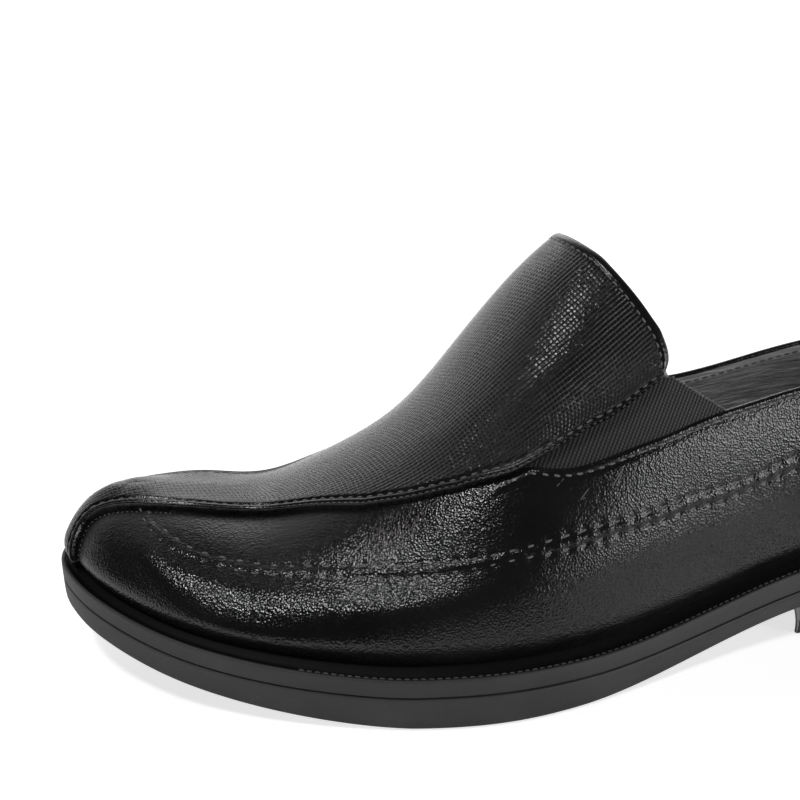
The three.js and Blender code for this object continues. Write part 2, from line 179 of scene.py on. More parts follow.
def formPoint(turn, climbShare):
    # a point of the upper's face: climbShare runs from 0 at the feather line to 1 at the crown
    turn = np.asarray(turn, float) % rounds
    station = np.where(turn <= heelRow, turn, rounds - turn)
    footX, footY, outX, outY = outlinePoint(turn, form["ledge"])
    footZ = weltTopAt(footX)
    topX = crownAlong(station) * form["length"]
    topY = crownSide(station) * form["ballInner"]
    topZ = heightOf(crownHigh(station))
    climb = np.sin(np.clip(climbShare, 0, 1) * np.pi / 2)
    fullness = np.where(turn <= heelRow, fullOuter(station), fullInner(station))
    lean = np.sqrt(np.maximum(1 - climb**fullness, 0))
    swell = swellAt(station) * form["sideSwell"] * np.sin(np.pi * np.minimum(climb / 0.55, 1))**2
    return np.stack([
        topX + (footX - topX) * lean + outX * swell,
        topY + (footY - topY) * lean + outY * swell,
        footZ + (topZ - footZ) * climb,
    ], -1)


def unit(vectors):
    return vectors / np.maximum(np.linalg.norm(vectors, axis=-1, keepdims=True), 1e-12)


def formNormal(turn, climbShare):
    turn, climbShare = np.broadcast_arrays(np.asarray(turn, float), np.asarray(climbShare, float))
    low, high = np.clip(climbShare - 0.004, 0, 0.996), np.clip(climbShare + 0.004, 0.004, 1)
    around = formPoint(turn + 0.02, climbShare) - formPoint(turn - 0.02, climbShare)
    up = formPoint(turn, high) - formPoint(turn, low)
    return unit(np.cross(around, up))


edgeTurns = np.arange(0, rounds, 0.5)
middleY = (outlinePoint(edgeTurns, 0)[1].max() + outlinePoint(edgeTurns, 0)[1].min()) / 2


def toWorld(points):
    # from millimetres behind the toe tip to the frame, in metres
    return (np.asarray(points, float) - [form["length"] / 2, middleY, 0]) * 0.001


def lengthAlong(points, axis=0):
    steps = np.linalg.norm(np.diff(points, axis=axis), axis=-1)
    return np.concatenate([np.zeros_like(np.take(steps, [0], axis)), np.cumsum(steps, axis)], axis)


print("form ready, middle at", round(middleY, 3))


# Helpers that make meshes.
def onlySelect(piece):
    bpy.ops.object.select_all(action="DESELECT")
    piece.select_set(True)
    bpy.context.view_layer.objects.active = piece


def weld(piece, distance=2e-6):
    onlySelect(piece)
    bpy.ops.object.mode_set(mode="EDIT")
    bpy.ops.mesh.select_all(action="SELECT")
    bpy.ops.mesh.remove_doubles(threshold=distance)
    bpy.ops.object.mode_set(mode="OBJECT")


def sheetPiece(name, points, mapping=None, edgeGaps=None):
    # a grid whose rows and columns are laid on the given points
    rows, columns = points.shape[:2]
    bpy.ops.object.select_all(action="DESELECT")
    bpy.ops.mesh.primitive_grid_add(x_subdivisions=columns - 1, y_subdivisions=rows - 1, size=1)
    piece = bpy.context.object
    piece.name = piece.data.name = name
    piece.data.vertices.foreach_set("co", toWorld(points).astype(np.float32).ravel())
    if mapping is not None:
        corners = np.empty(len(piece.data.loops), np.int32)
        piece.data.loops.foreach_get("vertex_index", corners)
        flat = mapping.reshape(-1, 2)[corners].astype(np.float32)
        piece.data.uv_layers.active.data.foreach_set("uv", flat.ravel())
    if edgeGaps is not None:
        layer = piece.data.uv_layers.new(name="edge", do_init=False)
        flat = np.repeat(edgeGaps.reshape(-1, 1), 2, 1)[corners].astype(np.float32)
        layer.data.foreach_set("uv", flat.ravel())
        piece.data.uv_layers.active_index = 0
    piece.data.update()
    bpy.ops.object.shade_smooth()
    return piece


def joined(name, parts, weldAt=2e-6):
    bpy.ops.object.select_all(action="DESELECT")
    for part in parts:
        part.select_set(True)
    bpy.context.view_layer.objects.active = parts[0]
    bpy.ops.object.join()
    piece = bpy.context.object
    piece.name = piece.data.name = name
    if weldAt:
        weld(piece, weldAt)
    return piece


def thicken(piece, thickness):
    thick = piece.modifiers.new("thickness", "SOLIDIFY")
    thick.thickness, thick.offset = thickness, -1
    onlySelect(piece)
    bpy.ops.object.modifier_apply(modifier="thickness")


def settle(piece, slotName, finish, *nodes):
    piece.data.materials.clear()
    piece.data.materials.append(finish)
    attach(piece, "root")
    if nodes:
        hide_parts(*nodes)


# Finishes: one small class for socket maths, one method for every other node.
class Wire:
    def __init__(self, graph, socket):
        self.graph, self.socket = graph, socket

    def calc(self, operation, *others):
        values = dict(enumerate((self, *others)))
        return self.graph.add("ShaderNodeMath", {"operation": operation}, values)

    def __add__(self, other): return self.calc("ADD", other)
    def __sub__(self, other): return self.calc("SUBTRACT", other)
    def __mul__(self, other): return self.calc("MULTIPLY", other)
    def __truediv__(self, other): return self.calc("DIVIDE", other)
    def __rsub__(self, other): return self.calc("MULTIPLY", -1.0).calc("ADD", other)
    def __lt__(self, other): return self.calc("LESS_THAN", other)
    def __gt__(self, other): return self.calc("GREATER_THAN", other)
    def __neg__(self): return self.calc("MULTIPLY", -1.0)
    __radd__, __rmul__ = __add__, __mul__

    def sin(self): return self.calc("SINE")
    def abs(self): return self.calc("ABSOLUTE")
    def atLeast(self, other): return self.calc("MAXIMUM", other)
    def clamped(self): return self.graph.add("ShaderNodeClamp", {}, {0: self})


class Graph:
    def __init__(self, name, holder=None):
        self.material = holder or bpy.data.materials.new(name)
        self.material.use_nodes = True
        self.tree = self.material.node_tree
        self.tree.nodes.clear()

    def add(self, kind, settings, values, output=0):
        node = self.tree.nodes.new(kind)
        for key, value in settings.items():
            if key == "stops":
                ramp = node.color_ramp
                while len(ramp.elements) < len(value):
                    ramp.elements.new(0.5)
                for element, (place, shade) in zip(ramp.elements, value):
                    element.position = place
                    element.color = (*shade, 1) if isinstance(shade, tuple) else (shade, shade, shade, 1)
            else:
                setattr(node, key, value)
        for key, value in values.items():
            if isinstance(value, Wire):
                self.tree.links.new(value.socket, node.inputs[key])
            else:
                node.inputs[key].default_value = value
        self.last = node
        return Wire(self, node.outputs[output]) if len(node.outputs) else node

    def objectPlace(self): return self.add("ShaderNodeTexCoord", {}, {}, "Object")
    def surfacePlace(self): return self.add("ShaderNodeTexCoord", {}, {}, "UV")

    def edgeGap(self): return self.parts(self.add("ShaderNodeUVMap", {"uv_map": "edge"}, {}))[0]

    def parts(self, vector):
        first = self.add("ShaderNodeSeparateXYZ", {}, {0: vector}, 0)
        node = self.last
        return first, Wire(self, node.outputs[1]), Wire(self, node.outputs[2])

    def noise(self, place, scale, detail=3.0, rough=0.5):
        values = {"Vector": place, "Scale": scale, "Detail": detail, "Roughness": rough}
        return self.add("ShaderNodeTexNoise", {}, values)

    def cells(self, place, scale):
        return self.add("ShaderNodeTexVoronoi", {}, {"Vector": place, "Scale": scale})

    def ramp(self, factor, stops): return self.add("ShaderNodeValToRGB", {"stops": stops}, {0: factor})

    def mix(self, factor, low, high):
        return self.add("ShaderNodeMix", {"data_type": "RGBA"}, {0: factor, 6: low, 7: high}, 2)

    def band(self, value, low, high):
        values = {0: value, 1: low, 2: high}
        return self.add("ShaderNodeMapRange", {"interpolation_type": "SMOOTHSTEP"}, values)

    def bump(self, height, depth, under=None):
        values = {"Height": height, "Distance": depth, "Strength": 1.0}
        if under is not None:
            values["Normal"] = under
        return self.add("ShaderNodeBump", {}, values)

    def surface(self, colour, roughness, normal=None, **constants):
        values = {"Base Color": colour, "Roughness": roughness}
        if normal is not None:
            values["Normal"] = normal
        names = {"glow": "Emission Strength", "sheen": "Sheen Weight", "specular": "Specular IOR Level"}
        if "glow" in constants:
            values["Emission Color"] = colour
        for key, value in constants.items():
            values[names[key]] = value
        shader = self.add("ShaderNodeBsdfPrincipled", {}, values)
        self.add("ShaderNodeOutputMaterial", {}, {0: shader})
        return self.material


def grey(value):
    return (value, value, value * 1.02, 1)


sideFinish = {"colour": 0.006, "roughness": 0.21, "grain": 1650, "grainDepth": 0.00013, "scuff": 0.10}
# Pale scratches on the outer side: both ends, in mm behind the toe tip and above the floor, and the width.
scuffs = [
    (155.6, 57.1, 159.0, 60.9, 0.3), (146.6, 54.7, 149.1, 57.2, 0.26), (140.5, 58.1, 142.6, 59.9, 0.22),
    (182.0, 63.2, 183.2, 64.8, 0.24), (114.1, 51.2, 114.6, 52.1, 0.3), (157.0, 57.6, 158.6, 59.6, 0.2),
]


def makeSideLeather():
    g = Graph("smoothBlackLeather")
    place = g.objectPlace()
    broad = g.noise(place, 38, 3)
    fine = g.noise(place, 900, 2)
    warp = g.add("ShaderNodeVectorMath", {"operation": "MULTIPLY_ADD"}, {0: g.add("ShaderNodeTexNoise", {}, {
        "Vector": place, "Scale": 500.0}, 1), 1: (0.0006,) * 3, 2: place})
    grain = g.cells(warp, sideFinish["grain"])
    pores = g.cells(place, 900)
    height = grain * 0.75 + fine * 0.4 + (pores < 0.12) * -0.4
    x, y, z = g.parts(place)
    mask = None
    for x0, z0, x1, z1, width in scuffs:
        start = toWorld([x0, 0, z0])
        end = toWorld([x1, 0, z1])
        dx, dz = end[0] - start[0], end[2] - start[2]
        size = math.hypot(dx, dz)
        along = ((x - start[0]) * dx + (z - start[2]) * dz) / size
        across = ((x - start[0]) * dz - (z - start[2]) * dx).abs() / size
        line = (across < width * 0.0005) * (along > 0.0) * (along < size) * (y < 0.0)
        mask = line if mask is None else mask + line
    worn = mask.clamped() * (g.noise(place, 1500, 1) > 0.42)
    tone = sideFinish["colour"]
    colour = g.mix(worn, g.ramp(broad, [(0.3, tone * 0.7), (0.7, tone * 1.35)]), grey(sideFinish["scuff"]))
    roughness = sideFinish["roughness"] + (broad - 0.5) * 0.14 + (fine - 0.5) * 0.1 + worn * 0.25
    normal = g.bump(height, sideFinish["grainDepth"], g.bump(g.noise(place, 120, 2), 0.00012))
    return g.surface(colour, roughness, normal, specular=0.55)


panelFinish = {"colour": 0.006, "roughness": 0.2, "linePitch": 1.15, "crossPitch": 1.3, "depth": 0.00019}


def makePanelLeather():
    g = Graph("crossPrintedLeather")
    place = g.objectPlace()
    across, along, _ = g.parts(g.surfacePlace())
    drift = (g.noise(place, 160, 2) - 0.5) * 0.8
    long = ((across + drift * 0.4) * (math.pi / panelFinish["linePitch"])).sin().abs()
    cross = ((along + drift) * (math.pi / panelFinish["crossPitch"])).sin().abs()
    patch = g.noise(place, 75, 2)
    long = (long * 1.5).clamped()
    cross = (cross * 1.5).clamped()
    printed = long * (0.35 + 0.65 * cross)
    speck = g.noise(place, 1500, 2)
    uneven = g.noise(place, 850, 2)
    inner = g.band(g.edgeGap(), 3.6, 5.0)
    height = printed * inner + (speck - 0.5) * 0.4 + (uneven - 0.5) * (0.4 + 0.5 * inner)
    colour = g.ramp(printed, [(0.1, panelFinish["colour"] * 0.4), (0.9, panelFinish["colour"] * 1.4)])
    roughness = panelFinish["roughness"] + (1.0 - printed) * inner * 0.12 + (patch - 0.5) * 0.12
    normal = g.bump(height, panelFinish["depth"])
    return g.surface(colour, roughness, normal, specular=0.55)


elasticFinish = {"colour": 0.014, "ribPitch": 1.02, "weftPitch": 0.85, "ribAngle": 62, "depth": 0.00022}


def makeElastic():
    g = Graph("ribbedElastic")
    place = g.objectPlace()
    u, w, _ = g.parts(g.surfacePlace())
    turn = math.radians(elasticFinish["ribAngle"])
    over = u * math.sin(turn) - w * math.cos(turn)
    along = u * math.cos(turn) + w * math.sin(turn)
    rib = (over * (2 * math.pi / elasticFinish["ribPitch"])).sin() * 0.5 + 0.5
    weft = (along * (2 * math.pi / elasticFinish["weftPitch"])).sin() * 0.5 + 0.5
    fuzz = g.noise(place, 2600, 2)
    height = rib * (0.6 + weft * 0.4) + fuzz * 0.25
    # colour follows the ribs' height: the gaps between ribs are darkened as painted shade and the rib tops
    # lightened as painted light
    colour = g.ramp(height, [(0.35, elasticFinish["colour"] * 0.1), (0.95, elasticFinish["colour"] * 3.2)])
    normal = g.bump(height, elasticFinish["depth"])
    return g.surface(colour, 0.72 + fuzz * 0.2, normal, sheen=0.35, specular=0.35)


def makeThread():
    g = Graph("blackThread")
    place = g.objectPlace()
    twist = g.noise(place, 3200, 2)
    # the black thread is coloured dark to mid grey, varied at random by the twist noise: the grey above black
    # is a painted highlight for the light the stitches catch
    colour = g.ramp(twist, [(0.3, 0.04), (0.75, 0.24)])
    return g.surface(colour, 0.36 + twist * 0.2, g.bump(twist, 0.00012), specular=0.7)


soleFinish = {"colour": 0.042, "roughness": 0.58}


def makeSoleRubber():
    g = Graph("darkSoleRubber")
    place = g.objectPlace()
    broad = g.noise(place, 45, 3)
    fine = g.noise(place, 1500, 3)
    specks = g.cells(place, 620) < 0.07
    tone = soleFinish["colour"]
    plain = g.ramp(broad, [(0.3, tone * 0.85), (0.7, tone * 1.2)])
    colour = g.mix(specks * (broad > 0.5) * 0.7, plain, grey(0.16))
    roughness = soleFinish["roughness"] + (broad - 0.5) * 0.16 + (fine - 0.5) * 0.12
    normal = g.bump(fine + specks * 0.8, 0.00007, g.bump(broad, 0.0003))
    return g.surface(colour, roughness, normal, specular=0.5)


def makeLining():
    g = Graph("softBlackLining")
    place = g.objectPlace()
    u, w, _ = g.parts(g.surfacePlace())
    stretched = g.add("ShaderNodeCombineXYZ", {}, {0: u * 0.05, 1: w * 0.55, 2: 0.0})
    pleat = g.noise(stretched, 1.6, 4, 0.6)
    fine = g.noise(place, 900, 3)
    pores = g.cells(place, 1100) < 0.16
    # the black lining is coloured light grey, painted light for what falls in at the opening; lighter on the
    # pleats' crests and darker in their folds, painted shade; lightest in the top 3 mm under the edge,
    # painted light
    paintedLightTop = 1.0 - g.band(g.edgeGap(), 2.7, 3.3)
    colour = g.mix(paintedLightTop, g.ramp(pleat, [(0.3, 0.28), (0.7, 0.75)]), grey(0.75))
    height = pleat * 1.0 + fine * 0.06 + pores * -0.03
    return g.surface(colour, 0.5 + fine * 0.15, g.bump(height, 0.0012), specular=0.5)


def makeSock():
    g = Graph("insoleLeather")
    place = g.objectPlace()
    fine = g.noise(place, 800, 3)
    pores = g.cells(place, 1300) < 0.14
    broad = g.noise(place, 30, 3)
    colour = g.ramp(broad, [(0.3, 0.012), (0.7, 0.024)])
    return g.surface(colour, 0.55 + fine * 0.12, g.bump(fine + pores * -0.6, 0.00012), specular=0.4)


def makeChannelShade():
    g = Graph("paintedShadeChannel")
    fine = g.noise(g.objectPlace(), 900, 3)
    # near black and dull: painted shade for the deep groove between the upper and the welt's rib
    colour = g.ramp(fine, [(0.3, 0.003), (0.7, 0.006)])
    return g.surface(colour, 0.5 + fine * 0.1, g.bump(fine, 0.00005), specular=0.12)


smoothLeather = makeSideLeather()
channelShadeLeather = makeChannelShade()
printedLeather = makePanelLeather()
elasticCloth = makeElastic()
blackThread = makeThread()
soleRubber = makeSoleRubber()
liningLeather = makeLining()
sockLeather = makeSock()
print("finishes ready")

# Lines in side view, as shares of the length and of the instep height: along, outer side, inner side.
collarLine = np.array([
    (0.5, 1.6, 1.6), (0.5077, 1.1, 1.1), (0.5133, 1.06, 1.06), (0.5333, 1.008, 1.008), (0.5583, 0.91, 0.91),
    (0.5753, 0.833, 0.833), (0.581, 0.785, 0.785), (0.582, 0.745, 0.74), (0.588, 0.712, 0.695),
    (0.599, 0.692, 0.662), (0.612, 0.67, 0.628), (0.626, 0.651, 0.594), (0.643, 0.615, 0.557),
    (0.665, 0.622, 0.554), (0.7, 0.644, 0.574), (0.76, 0.672, 0.616), (0.83, 0.69, 0.662),
    (0.9, 0.706, 0.698), (0.96, 0.72, 0.72), (1.04, 0.74, 0.74),
])
topLine = np.array([  # the quarters' edge, under the gores and round the heel
    (0.4293, 0.495, 0.495), (0.449, 0.5045, 0.501), (0.469, 0.4995, 0.492), (0.502, 0.5085, 0.491),
    (0.5423, 0.539, 0.504), (0.58, 0.5665, 0.522), (0.61, 0.59, 0.536), (0.64, 0.609, 0.548),
    (0.665, 0.622, 0.556), (0.7, 0.644, 0.574), (0.76, 0.672, 0.616), (0.83, 0.69, 0.662),
    (0.9, 0.706, 0.698), (0.96, 0.72, 0.72), (1.04, 0.74, 0.74),
])
goreTop = np.array([
    (0.4323, 0.5065), (0.4543, 0.5505), (0.4807, 0.586), (0.5117, 0.6265), (0.544, 0.679), (0.5743, 0.735),
    (0.587, 0.75),
])
collarOuter = lambda x: heightOf(np.interp(x / form["length"], collarLine[:, 0], collarLine[:, 1]))
collarInner = lambda x: heightOf(np.interp(x / form["length"], collarLine[:, 0], collarLine[:, 2]))
topOuterCurve = curveThrough(topLine[:, 0], topLine[:, 1])
topInnerCurve = curveThrough(topLine[:, 0], topLine[:, 2])


def lineHeight(points, outerLine, innerLine):
    # the line's height at each point, blended from side to side as the solids are cut
    low, high = outerLine(points[..., 0]), innerLine(points[..., 0])
    share = (points[..., 1] + form["ballOuter"] / 2) / ((form["ballOuter"] + form["ballInner"]) / 2)
    return low + (high - low) * np.clip(share, 0, 1)


def topLineHeight(points):
    return lineHeight(points, lambda x: heightOf(topOuterCurve(x / form["length"])),
                      lambda x: heightOf(topInnerCurve(x / form["length"])))


def collarHeight(points):
    return lineHeight(points, collarOuter, collarInner)


def climbWhere(turns, lineOf, startAt=0.1):
    # for each turn, the climb share at which the face first reaches the line
    shares = np.linspace(startAt, 1, 400)
    points = formPoint(turns[:, None], shares[None, :])
    over = points[..., 2] - lineOf(points)
    found = np.ones(len(turns))
    for n, row in enumerate(over):
        hits = np.nonzero((row[:-1] < 0) & (row[1:] >= 0))[0]
        if row[0] >= 0:
            found[n] = startAt
        elif len(hits):
            i = hits[0]
            found[n] = shares[i] + (shares[i + 1] - shares[i]) * row[i] / (row[i] - row[i + 1])
    return found


# Seam of the centre panel: station and climb share, from the toe's feather line to the tongue's corner.
seamRows = {
    "outer": np.array([
        (1.9, 0.02), (2.0, 0.11), (1.9, 0.2), (1.7, 0.3), (1.53, 0.425), (1.56, 0.54), (2.08, 0.65),
        (2.83, 0.715), (3.65, 0.75), (4.46, 0.765), (5.23, 0.782), (5.79, 0.787), (6.24, 0.766),
        (6.66, 0.724), (7.09, 0.662), (7.39, 0.618), (7.96, 0.552), (8.5, 0.49), (9.12, 0.427), (9.4, 0.415),
        (9.73, 0.403), (10.1, 0.396), (10.5, 0.4), (10.86, 0.413),
    ]),
    "inner": np.array([
        (2.35, 0.02), (2.55, 0.14), (2.5, 0.27), (2.4, 0.38), (2.35, 0.48), (2.45, 0.57), (2.8, 0.63),
        (3.36, 0.67), (4.06, 0.69), (4.76, 0.705), (5.29, 0.72), (5.76, 0.725), (6.26, 0.71), (6.66, 0.68),
        (7.09, 0.635), (7.39, 0.6), (7.96, 0.545), (8.5, 0.488), (9.12, 0.427), (9.4, 0.415), (9.73, 0.403),
        (10.1, 0.396), (10.5, 0.4), (10.86, 0.413),
    ]),
}
seamClimb = curveThrough([0, 1.4, *seamRows["outer"][7:19, 0]], [0.71, 0.71, *seamRows["outer"][7:19, 1]])

# Side leather: the quarters and the sides of the vamp, in one ring from the feather line to the edge.
side = {
    "around": 920,
    "upward": 62,
    "underPanel": 0.05,
    "edgeRadius": 0.95,
    "foldDepth": 3.2,
    "tuck": 2.9,
    "tuckToe": 2.0,
    "tuckHeight": 8.5,
    "tuckHeightToe": 6.5,
}
doubleUpper = np.array([
    (3.71, 0.765), (4.04, 0.665), (4.45, 0.61), (4.86, 0.55), (5.25, 0.525), (5.63, 0.515), (6.25, 0.48),
    (7.07, 0.42), (7.91, 0.345), (8.76, 0.28), (9.63, 0.235), (10.04, 0.22), (10.5, 0.205), (11.11, 0.2),
    (11.93, 0.2), (12.34, 0.215), (14, 0.225), (16, 0.228), (18, 0.228),
])
doubleLower = np.array([
    (3.53, 0.74), (3.97, 0.625), (4.43, 0.535), (4.84, 0.485), (5.25, 0.47), (5.89, 0.45), (6.43, 0.42),
    (7.17, 0.365), (7.83, 0.32), (8.48, 0.275), (8.83, 0.255), (9.76, 0.205), (10.19, 0.195), (10.6, 0.185),
    (11.01, 0.18), (11.47, 0.175), (11.88, 0.18), (12.29, 0.19), (14, 0.198), (16, 0.2), (18, 0.2),
])
pucker = {
    "pitch": 5.0,
    "groove": 0.06,
    "width": 0.5,
    "pit": 0.7,
    "pitWidth": 0.6,
    "beside": 1.25,
    "besideHigh": 0.1,
    "besideWidth": 0.7,
    "puff": 0.36,
    "puffWidth": 1.2,
}
swollen = {"high": 1.05, "below": 7.5, "width": 5.5}  # the leather bulges below the double row
edgeRelief = {
    "channelAt": 2.0,
    "channelDeep": 0.42,
    "channelWidth": 0.7,
    "lipAt": 0.9,
    "lipHigh": 0.14,
    "lipWidth": 0.6,
}
# Creases: station (past 18 on the inner side), climb share, length, turn from level in degrees, depth, width.
creases = [
    (7.05, 0.27, 11, 60, 0.1, 1.3), (6.95, 0.24, 8, 75, 0.07, 1.0), (7.2, 0.225, 10, 50, 0.09, 1.2),
    (7.35, 0.3, 14, 25, 0.08, 2.0), (6.7, 0.22, 9, 80, 0.06, 1.2), (8.55, 0.47, 16, 50, 0.08, 2.4),
    (9.05, 0.415, 15, 28, -0.3, 1.0), (28.95, 0.27, 11, -60, 0.1, 1.3), (28.8, 0.225, 10, -50, 0.09, 1.2),
    (27.4, 0.47, 15, -50, 0.16, 2.4), (26.95, 0.415, 15, -28, -0.3, 1.0), (12.6, 0.5, 20, 70, 0.2, 2.6),
    (23.4, 0.45, 20, -70, 0.2, 2.6),
]


def tuckAt(x, above):
    # how far the leather is drawn in towards the welt
    share = smoothStep(x, 15, 110)
    deep = side["tuckToe"] + (side["tuck"] - side["tuckToe"]) * share
    high = side["tuckHeightToe"] + (side["tuckHeight"] - side["tuckHeightToe"]) * share
    return deep * np.clip(1 - above / high, 0, 1)**2


def stationOf(turns):
    return np.where(turns <= heelRow, turns, rounds - turns)


def evenTurns(count, share=0.2):
    dense = np.linspace(0, rounds, 6001)
    walked = lengthAlong(formPoint(dense, np.full_like(dense, share)))
    return np.interp(np.linspace(0, walked[-1], count + 1), walked, dense)


turns = evenTurns(side["around"])
stations = stationOf(turns)
topClimb = climbWhere(turns, topLineHeight)
fade = side["underPanel"] * smoothStep(9.1 - stations, 0, 1.2)
edgeClimb = np.where(stations < 9.12, seamClimb(stations) + fade, topClimb)
wrapped = np.r_[edgeClimb[-5:-1], edgeClimb, edgeClimb[1:5]]
edgeClimb = np.convolve(wrapped, [0.05, 0.1, 0.2, 0.3, 0.2, 0.1, 0.05], "same")
edgeClimb = edgeClimb[4:-4]
edgeClimb[-1] = edgeClimb[0]
shares = np.linspace(0, 1, side["upward"])[:, None] * edgeClimb[None, :]
face = formPoint(turns[None, :], shares)
faceNormal = formNormal(turns[None, :], shares)
climbed = lengthAlong(face, 0)


def rowDepth(rows, phaseShift):
    # distance of every point from a stitch row, in mm, and the phase along it
    climbs = curveThrough(rows[:, 0], rows[:, 1])(stations)
    points = formPoint(turns, climbs)
    walked = lengthAlong(points)
    level = np.array([np.interp(climbs[i], shares[:, i], climbed[:, i]) for i in range(len(turns))])
    lowLine = lengthAlong(formPoint(turns, np.full_like(turns, 0.2)))
    slope = np.gradient(level) / np.maximum(np.gradient(lowLine), 1e-6)
    distance = (climbed - level[None, :]) / np.sqrt(1 + slope[None, :]**2)
    live = (stations >= rows[0, 0])[None, :] * np.ones_like(distance)
    return distance, walked[None, :] / pucker["pitch"] + phaseShift, live


relief = np.zeros_like(climbed)
upperGap, upperPhase, upperLive = rowDepth(doubleUpper, 0)
lowerGap, lowerPhase, lowerLive = rowDepth(doubleLower, 0.5)
for gap, phase, live in ((upperGap, upperPhase, upperLive), (lowerGap, lowerPhase, lowerLive)):
    hole = hill(np.sin(phase * np.pi) * pucker["pitch"] / np.pi, pucker["pitWidth"])
    relief -= live * hill(gap, pucker["width"]) * (pucker["groove"] + pucker["pit"] * hole)
    puffed = 0.5 - 0.5 * np.cos(phase * 2 * np.pi)
    for shift in (-pucker["beside"], pucker["beside"]):
        relief += pucker["besideHigh"] * live * puffed * hill(gap - shift, pucker["besideWidth"])
between = hill((upperGap + lowerGap) / 2, pucker["puffWidth"]) * upperLive * lowerLive
relief += pucker["puff"] * between * (0.7 + 0.3 * np.cos(upperPhase * 4 * np.pi))
relief *= (0.4 + 0.6 * smoothStep(stations, 5, 9))[None, :]
bulging = smoothStep(stations, 3.3, 4.8) * (1 - 0.75 * smoothStep(stations, 7, 9.5))
relief += swollen["high"] * bulging[None, :] * hill(lowerGap + swollen["below"], swollen["width"])
for station, climb, length, turned, depth, width in creases:
    centre = formPoint(np.array([station]), np.array([climb]))[0]
    across = formNormal(np.array([station]), np.array([climb]))[0]
    level = unit(np.cross([0.0, 0.0, 1.0], across))
    upward = np.cross(across, level)
    way = level * math.cos(math.radians(turned)) + upward * math.sin(math.radians(turned))
    off = face - centre
    along = off @ way
    beside = off @ np.cross(across, way)
    near = np.exp(-(np.linalg.norm(off, axis=-1) / (length * 1.1))**4)
    bowed = beside + 0.012 * along**2
    trough = hill(bowed, width) - 0.45 * hill(bowed - 1.7 * width, width)
    relief -= depth * near * hill(along, length / 2) * trough
wander = np.sin(face[..., 0] / 11.0 + face[..., 2] / 7.0) * np.sin(face[..., 2] / 9.0 - face[..., 0] / 17.0)
relief += 0.12 * wander * smoothStep(climbed, 4, 16)
edgeGap = climbed[-1][None, :] - climbed  # distance below the edge
onTop = smoothStep(stations, 9.3, 10.2)[None, :]
channel = hill(edgeGap - edgeRelief["channelAt"], edgeRelief["channelWidth"])
relief -= edgeRelief["channelDeep"] * onTop * channel
relief += edgeRelief["lipHigh"] * onTop * hill(edgeGap - edgeRelief["lipAt"], edgeRelief["lipWidth"])
faceLift = relief - tuckAt(face[..., 0], climbed)

edgePull = side["edgeRadius"]  # the roll at the edge starts this far below it
rolled = []
upEdge = unit(face[-1] - face[-4])
for angle in np.radians([25, 50, 75, 100, 125, 150, 180]):
    drop = edgePull * (np.cos(angle) - 1)
    raised = faceNormal[-1] * (drop + faceLift[-1][:, None])
    rolled.append(face[-1] + upEdge * edgePull * (math.sin(angle) - 1) + raised)
for depth, inward in ((0.8, 1.85), (side["foldDepth"], 1.75), (side["foldDepth"] + 0.15, 1.6)):
    rolled.append(face[-1] - upEdge * (depth + edgePull) - faceNormal[-1] * inward)
faceRows = face + faceNormal * faceLift[..., None]
faceRows = faceRows - (upEdge * edgePull)[None] * hill(edgeGap, 1.6)[..., None]
skirt = faceRows[:1] - [0, 0, 2.2] - faceNormal[:1] * 0.6
sidePoints = np.concatenate([skirt, faceRows, np.array(rolled)], 0)
sideLeather = sheetPiece("side_leather", sidePoints)
weld(sideLeather)
settle(sideLeather, "smooth_leather", smoothLeather, "upper")
print("side leather:", len(sideLeather.data.polygons), "faces")

# The smooth face of the upper as a tree to cast rays at, and coordinates round a pivot in the toe.
baseTurns = evenTurns(720)[:-1]
baseShares = np.linspace(0, 1, 96)
basePoints = formPoint(baseTurns[None, :], baseShares[:, None])
basePoints = np.concatenate([basePoints[:1] - [0, 0, 9], basePoints], 0)
ringCount = len(baseTurns)
baseFaces = [
    (low + i, low + (i + 1) % ringCount, low + ringCount + (i + 1) % ringCount, low + ringCount + i)
    for low in range(0, (len(basePoints) - 1) * ringCount, ringCount) for i in range(ringCount)
]
faceTree = BVHTree.FromPolygons([tuple(p) for p in basePoints.reshape(-1, 3)], baseFaces)
pivot = {"x": 26, "z": 29, "reach": 20}
axisHeight = lambda x: np.interp(x, [26, 60, 90, 115, 150, 180], [29, 25, 24, 30, 52, 60])
axisSide = lambda x: np.interp(x, [26, 60, 105, 150, 180], [2.5, 4, 5, 5.5, 5])


def castFrom(u, swing):
    # u runs back over the toe and along the vamp in mm, swing turns from side to side in radians
    bend = max(pivot["x"] - u, 0) / pivot["reach"]
    x = max(u, pivot["x"])
    origin = Vector((x, float(axisSide(x)), float(axisHeight(x))))
    way = Vector((-math.sin(bend) * math.cos(swing), math.sin(swing), math.cos(bend) * math.cos(swing)))
    return faceTree.ray_cast(origin, way)[0]


def swingOf(point):
    x, y, z = point
    if x >= pivot["x"]:
        return x, math.atan2(y - float(axisSide(x)), z - float(axisHeight(x)))
    reach = math.hypot(pivot["x"] - x, z - pivot["z"])
    bend = math.atan2(pivot["x"] - x, z - pivot["z"])
    return pivot["x"] - bend * pivot["reach"], math.atan2(y - float(axisSide(pivot["x"])), reach)


